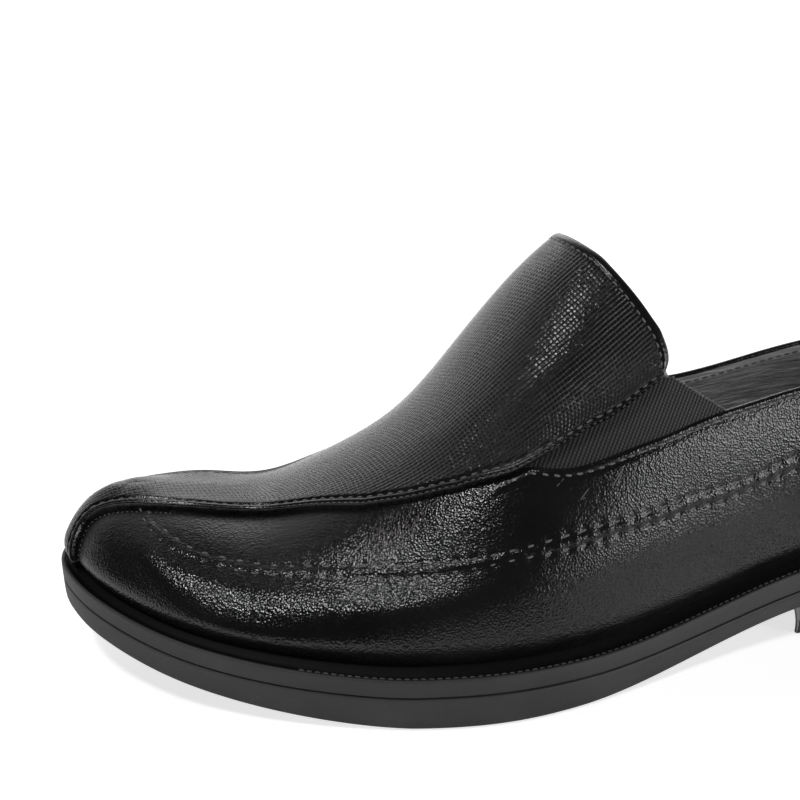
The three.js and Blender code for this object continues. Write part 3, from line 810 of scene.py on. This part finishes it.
# Centre panel: a second layer with a rolled rim, from the toe's feather line to the top of the tongue.
panel = {
    "startAt": -5.9,
    "rows": 250,
    "middleColumns": 72,
    "topRoll": 1.3,
    "tongueInside": 2.2,
    "cornerPull": 4.6,
    "reachOn": 0.5,
    "apexOn": 1.2,
    "rippleDeep": 0.12,
}
rimRowsAt = np.array([  # distance from the panel's edge, height above the face
    (0, -0.2), (0.04, 0.9), (0.12, 1.6), (0.26, 1.98), (0.45, 2.12), (0.65, 2.05), (0.85, 1.7), (1.05, 1.4),
    (1.3, 1.62), (1.6, 1.86), (2.0, 1.9), (2.4, 1.78), (2.7, 1.5), (3.0, 1.26), (3.3, 1.3), (3.6, 1.6),
    (4.0, 1.72), (4.6, 1.6),
])
rimGaps, rimLifts = rimRowsAt.T
panelEndRows = np.array([  # distance from the tongue's end, height
    (0, 0), (0.4, 0.12), (0.9, 0.25), (1.5, 0.2), (1.9, -0.12), (2.4, -0.05), (3.0, 0),
])
panelHills = [  # place along, width, height, distance from the edge where it rises and where it is full
    (17, 11, 1.9, 2, 10),
    (39, 11, -0.8, 2, 10),
    (140, 24, 2.8, 4, 22),
]
seamEdges = {}
for sideName, sign in (("outer", 1), ("inner", -1)):
    rows = seamRows[sideName]
    seamTurns = np.where(sign > 0, rows[:, 0], rounds - rows[:, 0])
    points = formPoint(seamTurns, rows[:, 1])
    pairs = np.array([swingOf(p) for p in points])
    swings = [pairs[0, 1] * 1.02, *pairs[:, 1], pairs[-1, 1] * 0.98]
    seamEdges[sideName] = curveThrough([-12, *pairs[:, 0], 190], swings)
    print("seam", sideName, np.degrees(pairs[:, 1]).round(0))


def swingAt(u, share):
    # share runs from 0 at the inner edge to 1 at the outer edge
    inner, outer = float(seamEdges["inner"](u)), float(seamEdges["outer"](u))
    return inner + (outer - inner) * share


topShares = np.linspace(0, 1, 31)
topEnds = []
for share in topShares:
    before = None
    for u in np.arange(146, 182, 0.5):
        hit = castFrom(u, swingAt(u, share))
        if hit is None:
            break
        over = hit[2] - float(collarHeight(np.array(hit)))
        if over >= 0 and before is not None:
            u = u - 0.5 * over / (over - before)
            break
        before = over
    topEnds.append(u)
topEnds = np.array(topEnds) - panel["topRoll"] + panel["reachOn"]
topEnds += panel["apexOn"] * hill(topShares - 0.5, 0.22)
topEnds -= panel["cornerPull"] * np.clip((np.abs(topShares * 2 - 1) - 0.84) / 0.16, 0, 1)**2.4
topEnd = curveThrough(topShares, topEnds)
print("tongue ends at", topEnds.round(1)[::5])
rowShares = np.r_[np.linspace(0, 0.965, panel["rows"]), np.linspace(0.965, 1, 16)[1:]]
coarse = np.linspace(0, 1, 61)
middle = np.linspace(0, 1, panel["middleColumns"] + 2)[1:-1]
panelPoints, panelNormals, panelGaps = [], [], []
coarsePoints = np.array([[castFrom(u, swingAt(u, share)) for share, u in
                          zip(coarse, panel["startAt"] + rowShare * (topEnd(coarse) - panel["startAt"]))]
                         for rowShare in rowShares])
coarseNormals = unit(np.cross(np.gradient(coarsePoints, axis=1), np.gradient(coarsePoints, axis=0)))
for n, rowShare in enumerate(rowShares):
    walked = lengthAlong(coarsePoints[n])
    width = walked[-1]
    places = np.r_[rimGaps, rimGaps[-1] + (width - 2 * rimGaps[-1]) * middle, width - rimGaps[::-1]]
    columnShares = np.interp(places, walked, coarse)
    us = panel["startAt"] + rowShare * (topEnd(columnShares) - panel["startAt"])
    panelPoints.append([castFrom(u, swingAt(u, share)) for u, share in zip(us, columnShares)])
    columnNormals = [np.interp(columnShares, coarse, coarseNormals[n, :, c]) for c in range(3)]
    panelNormals.append(np.stack(columnNormals, -1))
    panelGaps.append(np.minimum(places, width - places))
panelPoints, panelNormals = np.array(panelPoints), unit(np.array(panelNormals))
panelGaps = np.array(panelGaps)
endGap = lengthAlong(panelPoints[::-1])[::-1]
panelLift = np.interp(panelGaps, rimGaps, rimLifts)
panelLift += np.interp(endGap, *panelEndRows.T) * smoothStep(panelGaps, 0.6, 2.5)
alongPanel = lengthAlong(panelPoints[:, panelPoints.shape[1] // 2])
panelX, panelY, panelZ = np.moveaxis(panelPoints, -1, 0)
ripple = np.sin(panelX / 6.3 + 0.5 * np.sin(panelY / 8.0)) * hill(panelX - 112, 26)
panelLift += panel["rippleDeep"] * ripple * smoothStep(panelGaps, 3, 9)
panelLift -= tuckAt(panelX, panelZ - weltTopAt(panelX)) * (panelX < 40)
for hillAt, width, high, riseFrom, riseTo in panelHills:
    panelLift += high * hill(panelX - hillAt, width) * smoothStep(panelGaps, riseFrom, riseTo)
panelFace = panelPoints + panelNormals * panelLift[..., None]
onward = unit(panelPoints[-1] - panelPoints[-3])
rollRows = []
for angle in np.radians([30, 60, 90, 120, 150, 180]):
    level = -panel["tongueInside"] + (panelLift[-1] + panel["tongueInside"]) * (1 + math.cos(angle)) / 2
    reached = onward * panel["topRoll"] * math.sin(angle)
    rollRows.append(panelPoints[-1] + reached + panelNormals[-1] * level[:, None])
rollRows.append(rollRows[-1] - onward * 3.0)
panelAll = np.concatenate([panelFace, np.array(rollRows)], 0)
half = np.array([lengthAlong(row) - lengthAlong(row)[len(row) // 2] for row in panelPoints])
half = np.concatenate([half, np.repeat(half[-1:], len(rollRows), 0)], 0)
alongAll = np.r_[alongPanel, alongPanel[-1] + 0.8 * np.arange(1, len(rollRows) + 1)]
mapping = np.stack([half, np.broadcast_to(alongAll[:, None], half.shape)], -1)
gapsAll = np.minimum(panelGaps, np.broadcast_to(endGap + 2.2, panelGaps.shape))
gapsAll = np.concatenate([gapsAll, np.zeros((len(rollRows), gapsAll.shape[1]))], 0)
centrePanel = sheetPiece("panel_and_tongue", panelAll, mapping, gapsAll)
settle(centrePanel, "embossed_leather", printedLeather, "centre_panel")
print("centre panel:", len(centrePanel.data.polygons), "faces")

# Gores: ribbed elastic between the tongue and the quarters, tucked under both.
gore = {
    "columns": 90,
    "rows": 36,
    "sink": 0.55,
    "thickness": 1.3,
    "under": 1.6,
    "over": 2.4,
    "lowFrom": 0.4293,
    "lowTo": 0.6465,
    "highFrom": 0.4323,
    "highTo": 0.5855,
    "endDrop": 3.4,
    "edgeStitch": (1.15, 0.95, 0.3),
}
goreTopCurve = curveThrough(goreTop[:, 0], goreTop[:, 1])
goreEdgeRows = []
for sideName, sign, lowCurve in (("outer", -1, topOuterCurve), ("inner", 1, topInnerCurve)):
    points = np.zeros((gore["rows"], gore["columns"], 3))
    for i, share in enumerate(np.linspace(0, 1, gore["columns"])):
        lowAlong = gore["lowFrom"] + share * (gore["lowTo"] - gore["lowFrom"])
        highAlong = gore["highFrom"] + share * (gore["highTo"] - gore["highFrom"])
        lowEnd = np.array([lowAlong * form["length"], heightOf(float(lowCurve(lowAlong))) - gore["under"]])
        raised = gore["over"] * (1 - share) - gore["endDrop"] * float(smoothStep(share, 0.75, 1))
        highEnd = np.array([highAlong * form["length"], heightOf(float(goreTopCurve(highAlong))) + raised])
        for j, rise in enumerate(np.linspace(0, 1, gore["rows"])):
            x, z = lowEnd + (highEnd - lowEnd) * rise
            hit = faceTree.ray_cast(Vector((x, 3.0, z)), Vector((0, sign, 0)))[0]
            points[j, i] = hit if hit is not None else points[j - 1, i]
    normals = unit(np.cross(np.gradient(points, axis=1), np.gradient(points, axis=0)))
    normals *= np.sign(normals[..., 1:2]) * sign
    mapping = points[..., [0, 2]].copy()
    points = points - normals * gore["sink"]
    if sign > 0:
        points, mapping = points[:, ::-1], mapping[:, ::-1]
    edgeColumn = points[:, -1 if sign < 0 else 0]
    goreEdgeRows.append((edgeColumn, normals[:, -1], *gore["edgeStitch"], 0.1, 35, 0.4))
    piece = sheetPiece("elastic_" + sideName, points, mapping)
    thicken(piece, gore["thickness"] * 0.001)
    settle(piece, "gore_elastic", elasticCloth, "gore_" + sideName)
print("gores ready")

# Lining: the inner face, from under the fold of the collar down to the insole.
lining = {"around": 480, "upward": 70, "inset": 2.05, "belowEdge": 0.008, "wrinkle": 0.16}
liningTurns = evenTurns(lining["around"])[::-1]
liningTop = climbWhere(liningTurns, collarHeight)
liningTop = np.where(liningTop < 1, liningTop - lining["belowEdge"], 1)
liningShares = np.linspace(0, 1, lining["upward"])[:, None] * liningTop[None, :]
points = formPoint(liningTurns[None, :], liningShares)
normals = formNormal(liningTurns[None, :], liningShares)
x, _, z = np.moveaxis(points, -1, 0)
pleats = np.sin(z * 2.1 + 1.3 * np.sin(x / 9)) * np.sin(z * 0.9 + x / 14)
fromEdge = lengthAlong(points[::-1])[::-1]
drawn = lining["inset"] + lining["wrinkle"] * pleats * (liningTop < 1)[None, :] * smoothStep(fromEdge, 4, 7)
points = points - normals * (drawn + tuckAt(x, z - weltTopAt(x)))[..., None]
mapping = np.stack([np.broadcast_to(lengthAlong(points[10])[None, :], pleats.shape), lengthAlong(points)], -1)
liningPiece = sheetPiece("lining", points, mapping, fromEdge)
weld(liningPiece, 4e-6)
settle(liningPiece, "lining_leather", liningLeather)
print("lining:", len(liningPiece.data.polygons), "faces")

# Sole unit: rings round the outline, closed above and below by strips from side to side.
sole = {"half": 300, "across": 22, "treadPitch": 6.5, "treadDepth": 0.7}


def halfStations():
    dense = np.linspace(0, heelRow, 4001)
    walked = lengthAlong(np.stack([outlineX(dense), outlineY(dense)], -1))
    other = lengthAlong(np.stack([outlineX(rounds - dense), outlineY(rounds - dense)], -1))
    both = walked / walked[-1] + other / other[-1]
    return np.interp(np.linspace(0, both[-1], sole["half"] + 1), both, dense)


soleStations = halfStations()
soleTurns = np.r_[soleStations, rounds - soleStations[::-1][1:]]


def ringRows(profile):
    rows = []
    for inset, height in profile:
        x, y, _, _ = outlinePoint(soleTurns, inset)
        rows.append(np.stack([x, y, height(x)], -1))
    return np.array(rows)


def stripRows(inset, height, relief=None):
    outer = np.stack(outlinePoint(soleStations, inset)[:2], -1)
    inner = np.stack(outlinePoint(rounds - soleStations, inset)[:2], -1)
    cut = np.linspace(0, 1, sole["across"] + 1)
    flat = outer[None] + (inner - outer)[None] * cut[:, None, None]
    zOuter, zInner = height(outer[:, 0]), height(inner[:, 0])
    z = zOuter[None] + (zInner - zOuter)[None] * cut[:, None]
    if relief is not None:
        toEdge = np.minimum(cut, 1 - cut)[:, None] * np.linalg.norm(inner - outer, axis=-1)[None]
        z = z + relief(flat[..., 0], toEdge)
    return np.concatenate([flat, z[..., None]], -1)


def soleSolid(name, profile, underRelief=None):
    rings = ringRows(profile)
    under = stripRows(profile[0][0], profile[0][1], underRelief)
    over = stripRows(profile[-1][0], profile[-1][1])
    return joined(name, [
        sheetPiece(name + "_side", rings),
        sheetPiece(name + "_under", under[::-1]),
        sheetPiece(name + "_over", over),
    ], 3e-6)


def treadRelief(x, gap):
    bars = smoothStep(np.sin(x * 2 * np.pi / sole["treadPitch"]), -0.2, 0.35)
    present = smoothStep(gap, 7, 8.5) * smoothStep(x, 18, 26) * (1 - smoothStep(x, 150, 160))
    return sole["treadDepth"] * (1 - bars) * present


# Profiles from below upwards: inset from the outline in mm, share of the layer's height.
outsoleProfile = [
    (1.9, 0.0), (1.25, 0.006), (0.75, 0.04), (0.38, 0.1), (0.15, 0.2), (0.03, 0.4), (0, 0.62), (0.01, 0.9),
    (0.1, 0.945), (0.3, 0.962), (1.1, 0.966), (1.15, 1.0),
]
weltProfile = [
    (1.15, 0.0), (1.1, 0.03), (0.3, 0.036), (0.08, 0.06), (0, 0.12), (0.04, 0.6), (0.1, 0.82), (0.2, 0.88),
    (0.38, 0.925), (0.62, 0.94), (1.0, 0.93), (1.2, 0.86), (1.5, 0.6), (3.2, 0.55), (4.8, 0.55),
]


def betweenHeights(low, high, share):
    return lambda x: low(x) + (high(x) - low(x)) * share


outsoleRings = [(inset, betweenHeights(undersideAt, outsoleTopAt, share)) for inset, share in outsoleProfile]
outsolePiece = soleSolid("outsole_rubber", outsoleRings, treadRelief)
settle(outsolePiece, "sole_rubber", soleRubber, "outsole")
weltRings = [(inset, betweenHeights(outsoleTopAt, weltTopAt, share)) for inset, share in weltProfile]
weltPiece = soleSolid("welt_rib", weltRings)
settle(weltPiece, "sole_rubber", soleRubber, "welt")

# Heel: the outline's back part, closed by a hollow front.
heel = {"hollow": 12, "corner": 1.6, "around": 240, "breast": 70}


def heelRing(inset, height):
    denseTurns = np.linspace(10, 26, 4000)
    x, y, _, _ = outlinePoint(denseTurns, inset)
    front = form["breastAt"] * form["length"] + 2.2
    keep = x >= front
    arc = np.stack([x[keep], y[keep]], -1)
    ends = arc[-1], arc[0]
    halfWide = (ends[0][1] - ends[1][1]) / 2
    middleAt = (ends[0][1] + ends[1][1]) / 2
    ys = np.linspace(ends[0][1], ends[1][1], 400)[1:-1]
    breast = np.stack([front + heel["hollow"] * (1 - ((ys - middleAt) / halfWide)**2), ys], -1)
    loop = np.concatenate([arc, breast, arc[:1]], 0)
    walked = lengthAlong(loop)
    count = heel["around"] + heel["breast"]
    steps = np.linspace(0, walked[-1], 1201)[:-1]
    even = np.stack([np.interp(steps, walked, loop[:, c]) for c in range(2)], -1)
    reach = max(int(heel["corner"] / (walked[-1] / 1200)), 1)
    weights = np.hanning(2 * reach + 3)[1:-1]
    weights /= weights.sum()
    padded = np.concatenate([even[-reach:], even, even[:reach]], 0)
    even = np.stack([np.convolve(padded[:, c], weights, "valid") for c in range(2)], -1)
    even = np.concatenate([even, even[:1]], 0)
    spots = np.linspace(0, 1200, count + 1)
    flat = np.stack([np.interp(spots, np.arange(1201), even[:, c]) for c in range(2)], -1)
    return np.concatenate([flat, height(flat[:, 0])[:, None]], -1)


heelProfile = [
    (3.0, 0.0), (2.3, 0.006), (1.9, 0.05), (1.65, 0.12), (1.55, 0.3), (1.52, 0.36), (1.75, 0.375),
    (1.75, 0.39), (1.45, 0.405), (1.2, 0.6), (0.8, 0.85), (0.5, 1.0), (0.9, 1.04),
]
heelRings = [heelRing(inset, lambda x, s=share: (undersideAt(x) - 0.05) * s) for inset, share in heelProfile]
heelPiece = sheetPiece("heel_block", np.array(heelRings))
weld(heelPiece)
onlySelect(heelPiece)
bpy.ops.object.mode_set(mode="EDIT")
bpy.ops.mesh.select_all(action="DESELECT")
bpy.ops.mesh.select_mode(type="EDGE")
bpy.ops.mesh.select_non_manifold()
bpy.ops.mesh.fill_holes(sides=0)
bpy.ops.object.mode_set(mode="OBJECT")
settle(heelPiece, "sole_rubber", soleRubber, "heel")
print("sole unit ready")

# Knurled ridge just under the groove, from the waist back.
knurl = {"pitch": 1.15, "from": 150, "proud": 0.28, "tooth": 0.3}
ridgeProfile = [(0.74, -0.3), (0.765, 0.1), (0.79, 0.9), (0.82, 1.0), (0.85, 0.9), (0.875, 0.1), (0.89, -0.4)]


def knurlStrip(name, turnFrom, turnTo):
    dense = np.linspace(turnFrom, turnTo, 3000)
    walked = lengthAlong(np.stack([outlineX(dense), outlineY(dense)], -1))
    count = int(walked[-1] / knurl["pitch"]) * 4
    spots = np.interp(np.linspace(0, walked[-1], count + 1), walked, dense)
    teeth = np.tile([0, 0.8, 1, 0.8], count // 4 + 1)[:count + 1]
    x, _, _, _ = outlinePoint(spots, 0)
    rise = smoothStep(np.arange(count + 1), 0, 60) * smoothStep(count - np.arange(count + 1), 0, 60)
    rows = []
    for share, out in ridgeProfile:
        inset = 0.1 - rise * out * (knurl["proud"] + knurl["tooth"] * (teeth - 1) * (out > 0))
        px, py, _, _ = outlinePoint(spots, inset)
        rows.append(np.stack([px, py, betweenHeights(undersideAt, outsoleTopAt, share)(px)], -1))
    return sheetPiece(name, np.array(rows))


def turnAtX(x, inner):
    dense = np.linspace(5, heelRow, 2000)
    found = np.interp(x, outlineX(dense), dense)
    return rounds - found if inner else found


ridge = knurlStrip("knurled_ridge", turnAtX(knurl["from"], False), turnAtX(knurl["from"], True))
settle(ridge, "sole_rubber", soleRubber)

# Near-black dull strip folded down into the welt's channel, painted shade for the deep groove there, with a
# row of stitches along it.
weltChannel = {"pitch": 1.5, "stitchInset": 1.75, "stitchDepth": 0.75, "stitchFrom": 70}
channelShadeProfile = [
    (1.25, -1.6), (1.35, -0.9), (1.6, -1.2), (2.1, -1.5), (2.7, -1.55), (3.4, -1.3), (4.2, -0.7), (5.0, 0.1),
    (6.2, 1.3),
]
walked = lengthAlong(np.stack(outlinePoint(np.linspace(0, rounds, 6001), 3.6)[:2], -1))
count = int(walked[-1] / weltChannel["pitch"]) * 4
spots = np.interp(np.linspace(0, walked[-1], count + 1), walked, np.linspace(0, rounds, 6001))
rows = []
for inset, high in channelShadeProfile:
    x, y, _, _ = outlinePoint(spots, inset)
    rows.append(np.stack([x, y, weltTopAt(x) + high], -1))
channelShadePiece = sheetPiece("channel_shade_strip", np.array(rows))
weld(channelShadePiece)
settle(channelShadePiece, "smooth_leather", channelShadeLeather)

# Insole sock, seen through the collar.
sock = {"inset": 6.3, "high": 3.55, "dome": 0.9, "rim": 1.6, "thickness": 1.8}
cut = np.linspace(0, 1, 41)[:, None]
outer = np.stack(outlinePoint(soleStations, sock["inset"])[:2], -1)
inner = np.stack(outlinePoint(rounds - soleStations, sock["inset"])[:2], -1)
flat = outer[None] + (inner - outer)[None] * cut[..., None]
bow = sock["dome"] * (1 - (2 * cut - 1)**2) * -0.6 + sock["rim"] * np.abs(2 * cut - 1)**7
z = weltTopAt(flat[..., 0]) + sock["high"] + bow
sockTop = sheetPiece("insole_top", np.concatenate([flat, z[..., None]], -1))
thicken(sockTop, sock["thickness"] * 0.001)
settle(sockTop, "lining_leather", sockLeather, "insole")
print("insole ready")

# Stitches: one short thread is modelled, then a copy is laid at each place of every row.
bpy.ops.object.select_all(action="DESELECT")
bpy.ops.mesh.primitive_uv_sphere_add(segments=8, ring_count=6, radius=1)
model = bpy.context.object
threadShape = np.array([tuple(v.co) for v in model.data.vertices])[:, [2, 0, 1]]
threadFaces = [tuple(p.vertices) for p in model.data.polygons]
bpy.data.objects.remove(model)


def alongRow(points, normals, pitch, shift=0.5):
    walked = lengthAlong(points)
    spots = np.arange(shift * pitch, walked[-1] - 0.3 * pitch, pitch)
    at = lambda array, s: np.stack([np.interp(s, walked, array[:, c]) for c in range(3)], -1)
    ways = unit(at(points, spots + 0.3) - at(points, spots - 0.3))
    return at(points, spots), ways, unit(at(normals, spots))


def threadPiece(name, rows):
    # rows: points, normals, pitch, length, radius, lift above the points, turn to the side in degrees, shift
    allPoints, allFaces = [], []
    for points, normals, pitch, length, radius, lift, turned, shift in rows:
        centres, ways, ups = alongRow(points, normals, pitch, shift)
        besides = unit(np.cross(ups, ways))
        ways = ways * math.cos(math.radians(turned)) + besides * math.sin(math.radians(turned))
        besides = unit(np.cross(ups, ways))
        for centre, way, beside, up in zip(centres, ways, besides, ups):
            first = len(allPoints) * len(threadShape)
            s = threadShape
            sag = -0.7 * radius * s[:, 0]**2
            allPoints.append(centre + way * s[:, :1] * (length / 2) + beside * s[:, 1:2] * radius
                             + up * ((s[:, 2] * radius + sag)[:, None] + lift))
            allFaces += [tuple(first + v for v in f) for f in threadFaces]
    mesh = bpy.data.meshes.new(name)
    mesh.from_pydata([tuple(p) for p in toWorld(np.concatenate(allPoints))], [], allFaces)
    piece = bpy.data.objects.new(name, mesh)
    bpy.context.collection.objects.link(piece)
    onlySelect(piece)
    bpy.ops.object.shade_smooth()
    return piece


def facePath(turnList, climbList, lift):
    points = formPoint(turnList, climbList)
    normals = formNormal(turnList, climbList)
    return points + normals * lift, normals


def sideTurns(spots, sign):
    return spots if sign > 0 else rounds - spots


threads = {  # pitch, length, radius in mm
    "double": (5.0, 2.6, 0.34),
    "rimA": (1.9, 1.3, 0.25),
    "rimB": (3.1, 2.1, 0.34),
    "end": (2.6, 1.8, 0.26),
    "pins": (1.45, 0.55, 0.16),
    "top": (3.1, 2.3, 0.4),
    "weltChannel": (2.1, 1.6, 0.24),
}
doubleRows = []
for rows, shift in ((doubleUpper, 0.5), (doubleLower, 0.0)):
    climbs = curveThrough(rows[:, 0], rows[:, 1])
    spots = np.linspace(rows[0, 0], heelRow, 1500)
    for sign in (1, -1):
        points, normals = facePath(sideTurns(spots, sign), climbs(spots), -0.15)
        doubleRows.append((points, normals, *threads["double"], 0.02, 6 * sign, shift))
settle(threadPiece("double_stitching", doubleRows), "smooth_leather", blackThread)
settle(threadPiece("elastic_edges", goreEdgeRows), "gore_elastic", blackThread)

rimRows = []
columnCount = panelPoints.shape[1]
for gapWanted, key in ((1.05, "rimA"), (3.1, "rimB")):
    column = int(np.argmin(np.abs(rimGaps - gapWanted)))
    for c in (column, columnCount - 1 - column):
        rimRows.append((panelFace[:, c], panelNormals[:, c], *threads[key], 0.16, 0, 0.5))
rowBelow = int(np.argmin(np.abs(endGap[:, columnCount // 2] - 1.9)))
rimRows.append((panelFace[rowBelow, 16:-16], panelNormals[rowBelow, 16:-16], *threads["end"], 0.05, 0, 0.5))
for sideName, sign in (("outer", 1), ("inner", -1)):
    rows = seamRows[sideName][1:10]
    spots = np.linspace(0, 1, 200)
    steps = np.linspace(0, 1, len(rows))
    stationAt, climbAt = [curveThrough(steps, rows[:, c])(spots) for c in (0, 1)]
    points, normals = facePath(sideTurns(stationAt, sign), climbAt, 0.0)
    aside = unit(np.cross(unit(np.gradient(points, axis=0)), normals)) * sign
    rimRows.append((points + aside * 1.5, normals, *threads["pins"], 0.02, 0, 0.5))
settle(threadPiece("panel_stitching", rimRows), "embossed_leather", blackThread)

topRows = []
for sign in (1, -1):
    spots = np.linspace(9.25, heelRow, 1200)
    where = sideTurns(spots, sign)
    order = np.argsort(turns[:-1])
    climbTop = np.interp(where, turns[:-1][order], edgeClimb[:-1][order])
    points = formPoint(where, climbTop)
    normals = formNormal(where, climbTop)
    down = unit(formPoint(where, climbTop - 0.02) - points)
    pitch, length, radius = threads["top"]
    edgeLine = points + down * 2.0 - normals * 0.22
    topRows.append((edgeLine, normals, pitch, length, radius, 0.02, -8 * sign, 0.5))
    topRows.append((points + down * 3.4 - normals * 2.2, -normals, pitch, length, radius * 0.8, 0.05, 0, 0.5))
settle(threadPiece("collar_stitching", topRows), "smooth_leather", blackThread)

channelStitchTurns = np.linspace(0, rounds, 5000)
x, y, outX, outY = outlinePoint(channelStitchTurns, weltChannel["stitchInset"])
points = np.stack([x, y, weltTopAt(x) - weltChannel["stitchDepth"]], -1)
normals = unit(np.stack([outX, outY, np.full_like(x, 0.8)], -1))
channelStitchRows = []
for onSide in (channelStitchTurns < heelRow, channelStitchTurns > heelRow):
    keep = onSide & (x > weltChannel["stitchFrom"])
    channelStitchRows.append((points[keep], normals[keep], *threads["weltChannel"], 0, 0, 0.5))
settle(threadPiece("channel_dashes", channelStitchRows), "sole_rubber", blackThread)
print("stitches ready")

# Floor, light and camera.
bpy.ops.object.select_all(action="DESELECT")
bpy.ops.mesh.primitive_plane_add(size=60, location=(0, 0, 0))
floor = bpy.context.object
floor.name = "studio_floor"
g = Graph("paleFloor")
tone = g.ramp(g.noise(g.objectPlace(), 3, 2), [(0.3, (0.86, 0.86, 0.86)), (0.7, (0.88, 0.88, 0.88))])
x, y, _ = g.parts(g.objectPlace())
far = g.band(x * x + y * y, 0.12, 0.5)
tone = g.mix(far, tone, (1.0, 1.0, 1.0, 1))
floor.data.materials.append(g.surface(tone, 0.9, specular=0.1, glow=0.8))
floor.visible_glossy = False
floor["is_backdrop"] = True

bpy.context.scene.view_settings.view_transform = "Standard"
world = bpy.data.worlds.new("studio")
bpy.context.scene.world = world
g = Graph("studio", world)
x, y, z = g.parts(g.add("ShaderNodeTexCoord", {}, {}, "Generated"))  # the direction looked in
behind = g.band(y, 0.12, 0.66) * 0.85 + g.band(y, 0.72, 0.93) * 1.2
below = g.band(-z - x * 0.12, 0.16, 0.24) * (1.0 - g.band(-z, 0.47, 0.57)) * 1.15
right = g.band(x, 0.62, 0.8) * (1.0 - g.band(z, 0.12, 0.38)) * g.band(z, -0.28, -0.12) * 1.3
left = g.band(-x, 0.8, 0.93) * (1.0 - g.band(z, 0.1, 0.4)) * 1.3
level = behind.atLeast(below).atLeast(right).atLeast(left).atLeast(0.04)
g.add("ShaderNodeOutputWorld", {}, {0: g.add("ShaderNodeBackground", {}, {1: level})})

lights = [  # name, place, aim, size, watts
    ("leftSoftbox", (-0.36, -0.32, 0.98), (-0.03, 0, 0.05), (0.26, 0.12), 3.0),
    ("rightLight", (0.85, -0.62, 0.25), (0.06, 0, 0.06), (0.3, 0.3), 2.2),
    ("farFill", (0.1, 0.9, 0.9), (0, 0, 0.05), (0.9, 0.4), 1.6),
]
for name, place, aim, size, watts in lights:
    data = bpy.data.lights.new(name, "AREA")
    data.shape, data.size, data.size_y, data.energy = "RECTANGLE", size[0], size[1], watts
    lamp = bpy.data.objects.new(name, data)
    bpy.context.collection.objects.link(lamp)
    lamp.location = place
    lamp.rotation_euler = (Vector(aim) - Vector(place)).to_track_quat("-Z", "Y").to_euler()

view = {"yaw": 6.882, "pitch": 16.85, "roll": -0.947, "lens": 36, "place": (76.2, -231.76, 141.93)}
yaw, pitch, roll = [math.radians(view[k]) for k in ("yaw", "pitch", "roll")]
ahead = np.array([math.sin(yaw) * math.cos(pitch), math.cos(yaw) * math.cos(pitch), -math.sin(pitch)])
right = np.array([math.cos(yaw), -math.sin(yaw), 0])
up = np.cross(right, ahead)
right, up = math.cos(roll) * right + math.sin(roll) * up, -math.sin(roll) * right + math.cos(roll) * up
camera = bpy.data.objects.new("camera", bpy.data.cameras.new("camera"))
bpy.context.collection.objects.link(camera)
camera.data.lens, camera.data.sensor_width, camera.data.clip_start = view["lens"], 36, 0.01
turnTo = Matrix([[right[i], up[i], -ahead[i]] for i in range(3)]).to_4x4()
camera.matrix_world = Matrix.Translation(Vector(toWorld(view["place"]))) @ turnTo
bpy.context.scene.camera = camera

total = 0
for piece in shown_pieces():
    piece.data.calc_loop_triangles()
    total += len(piece.data.loop_triangles)
print("triangles:", total)
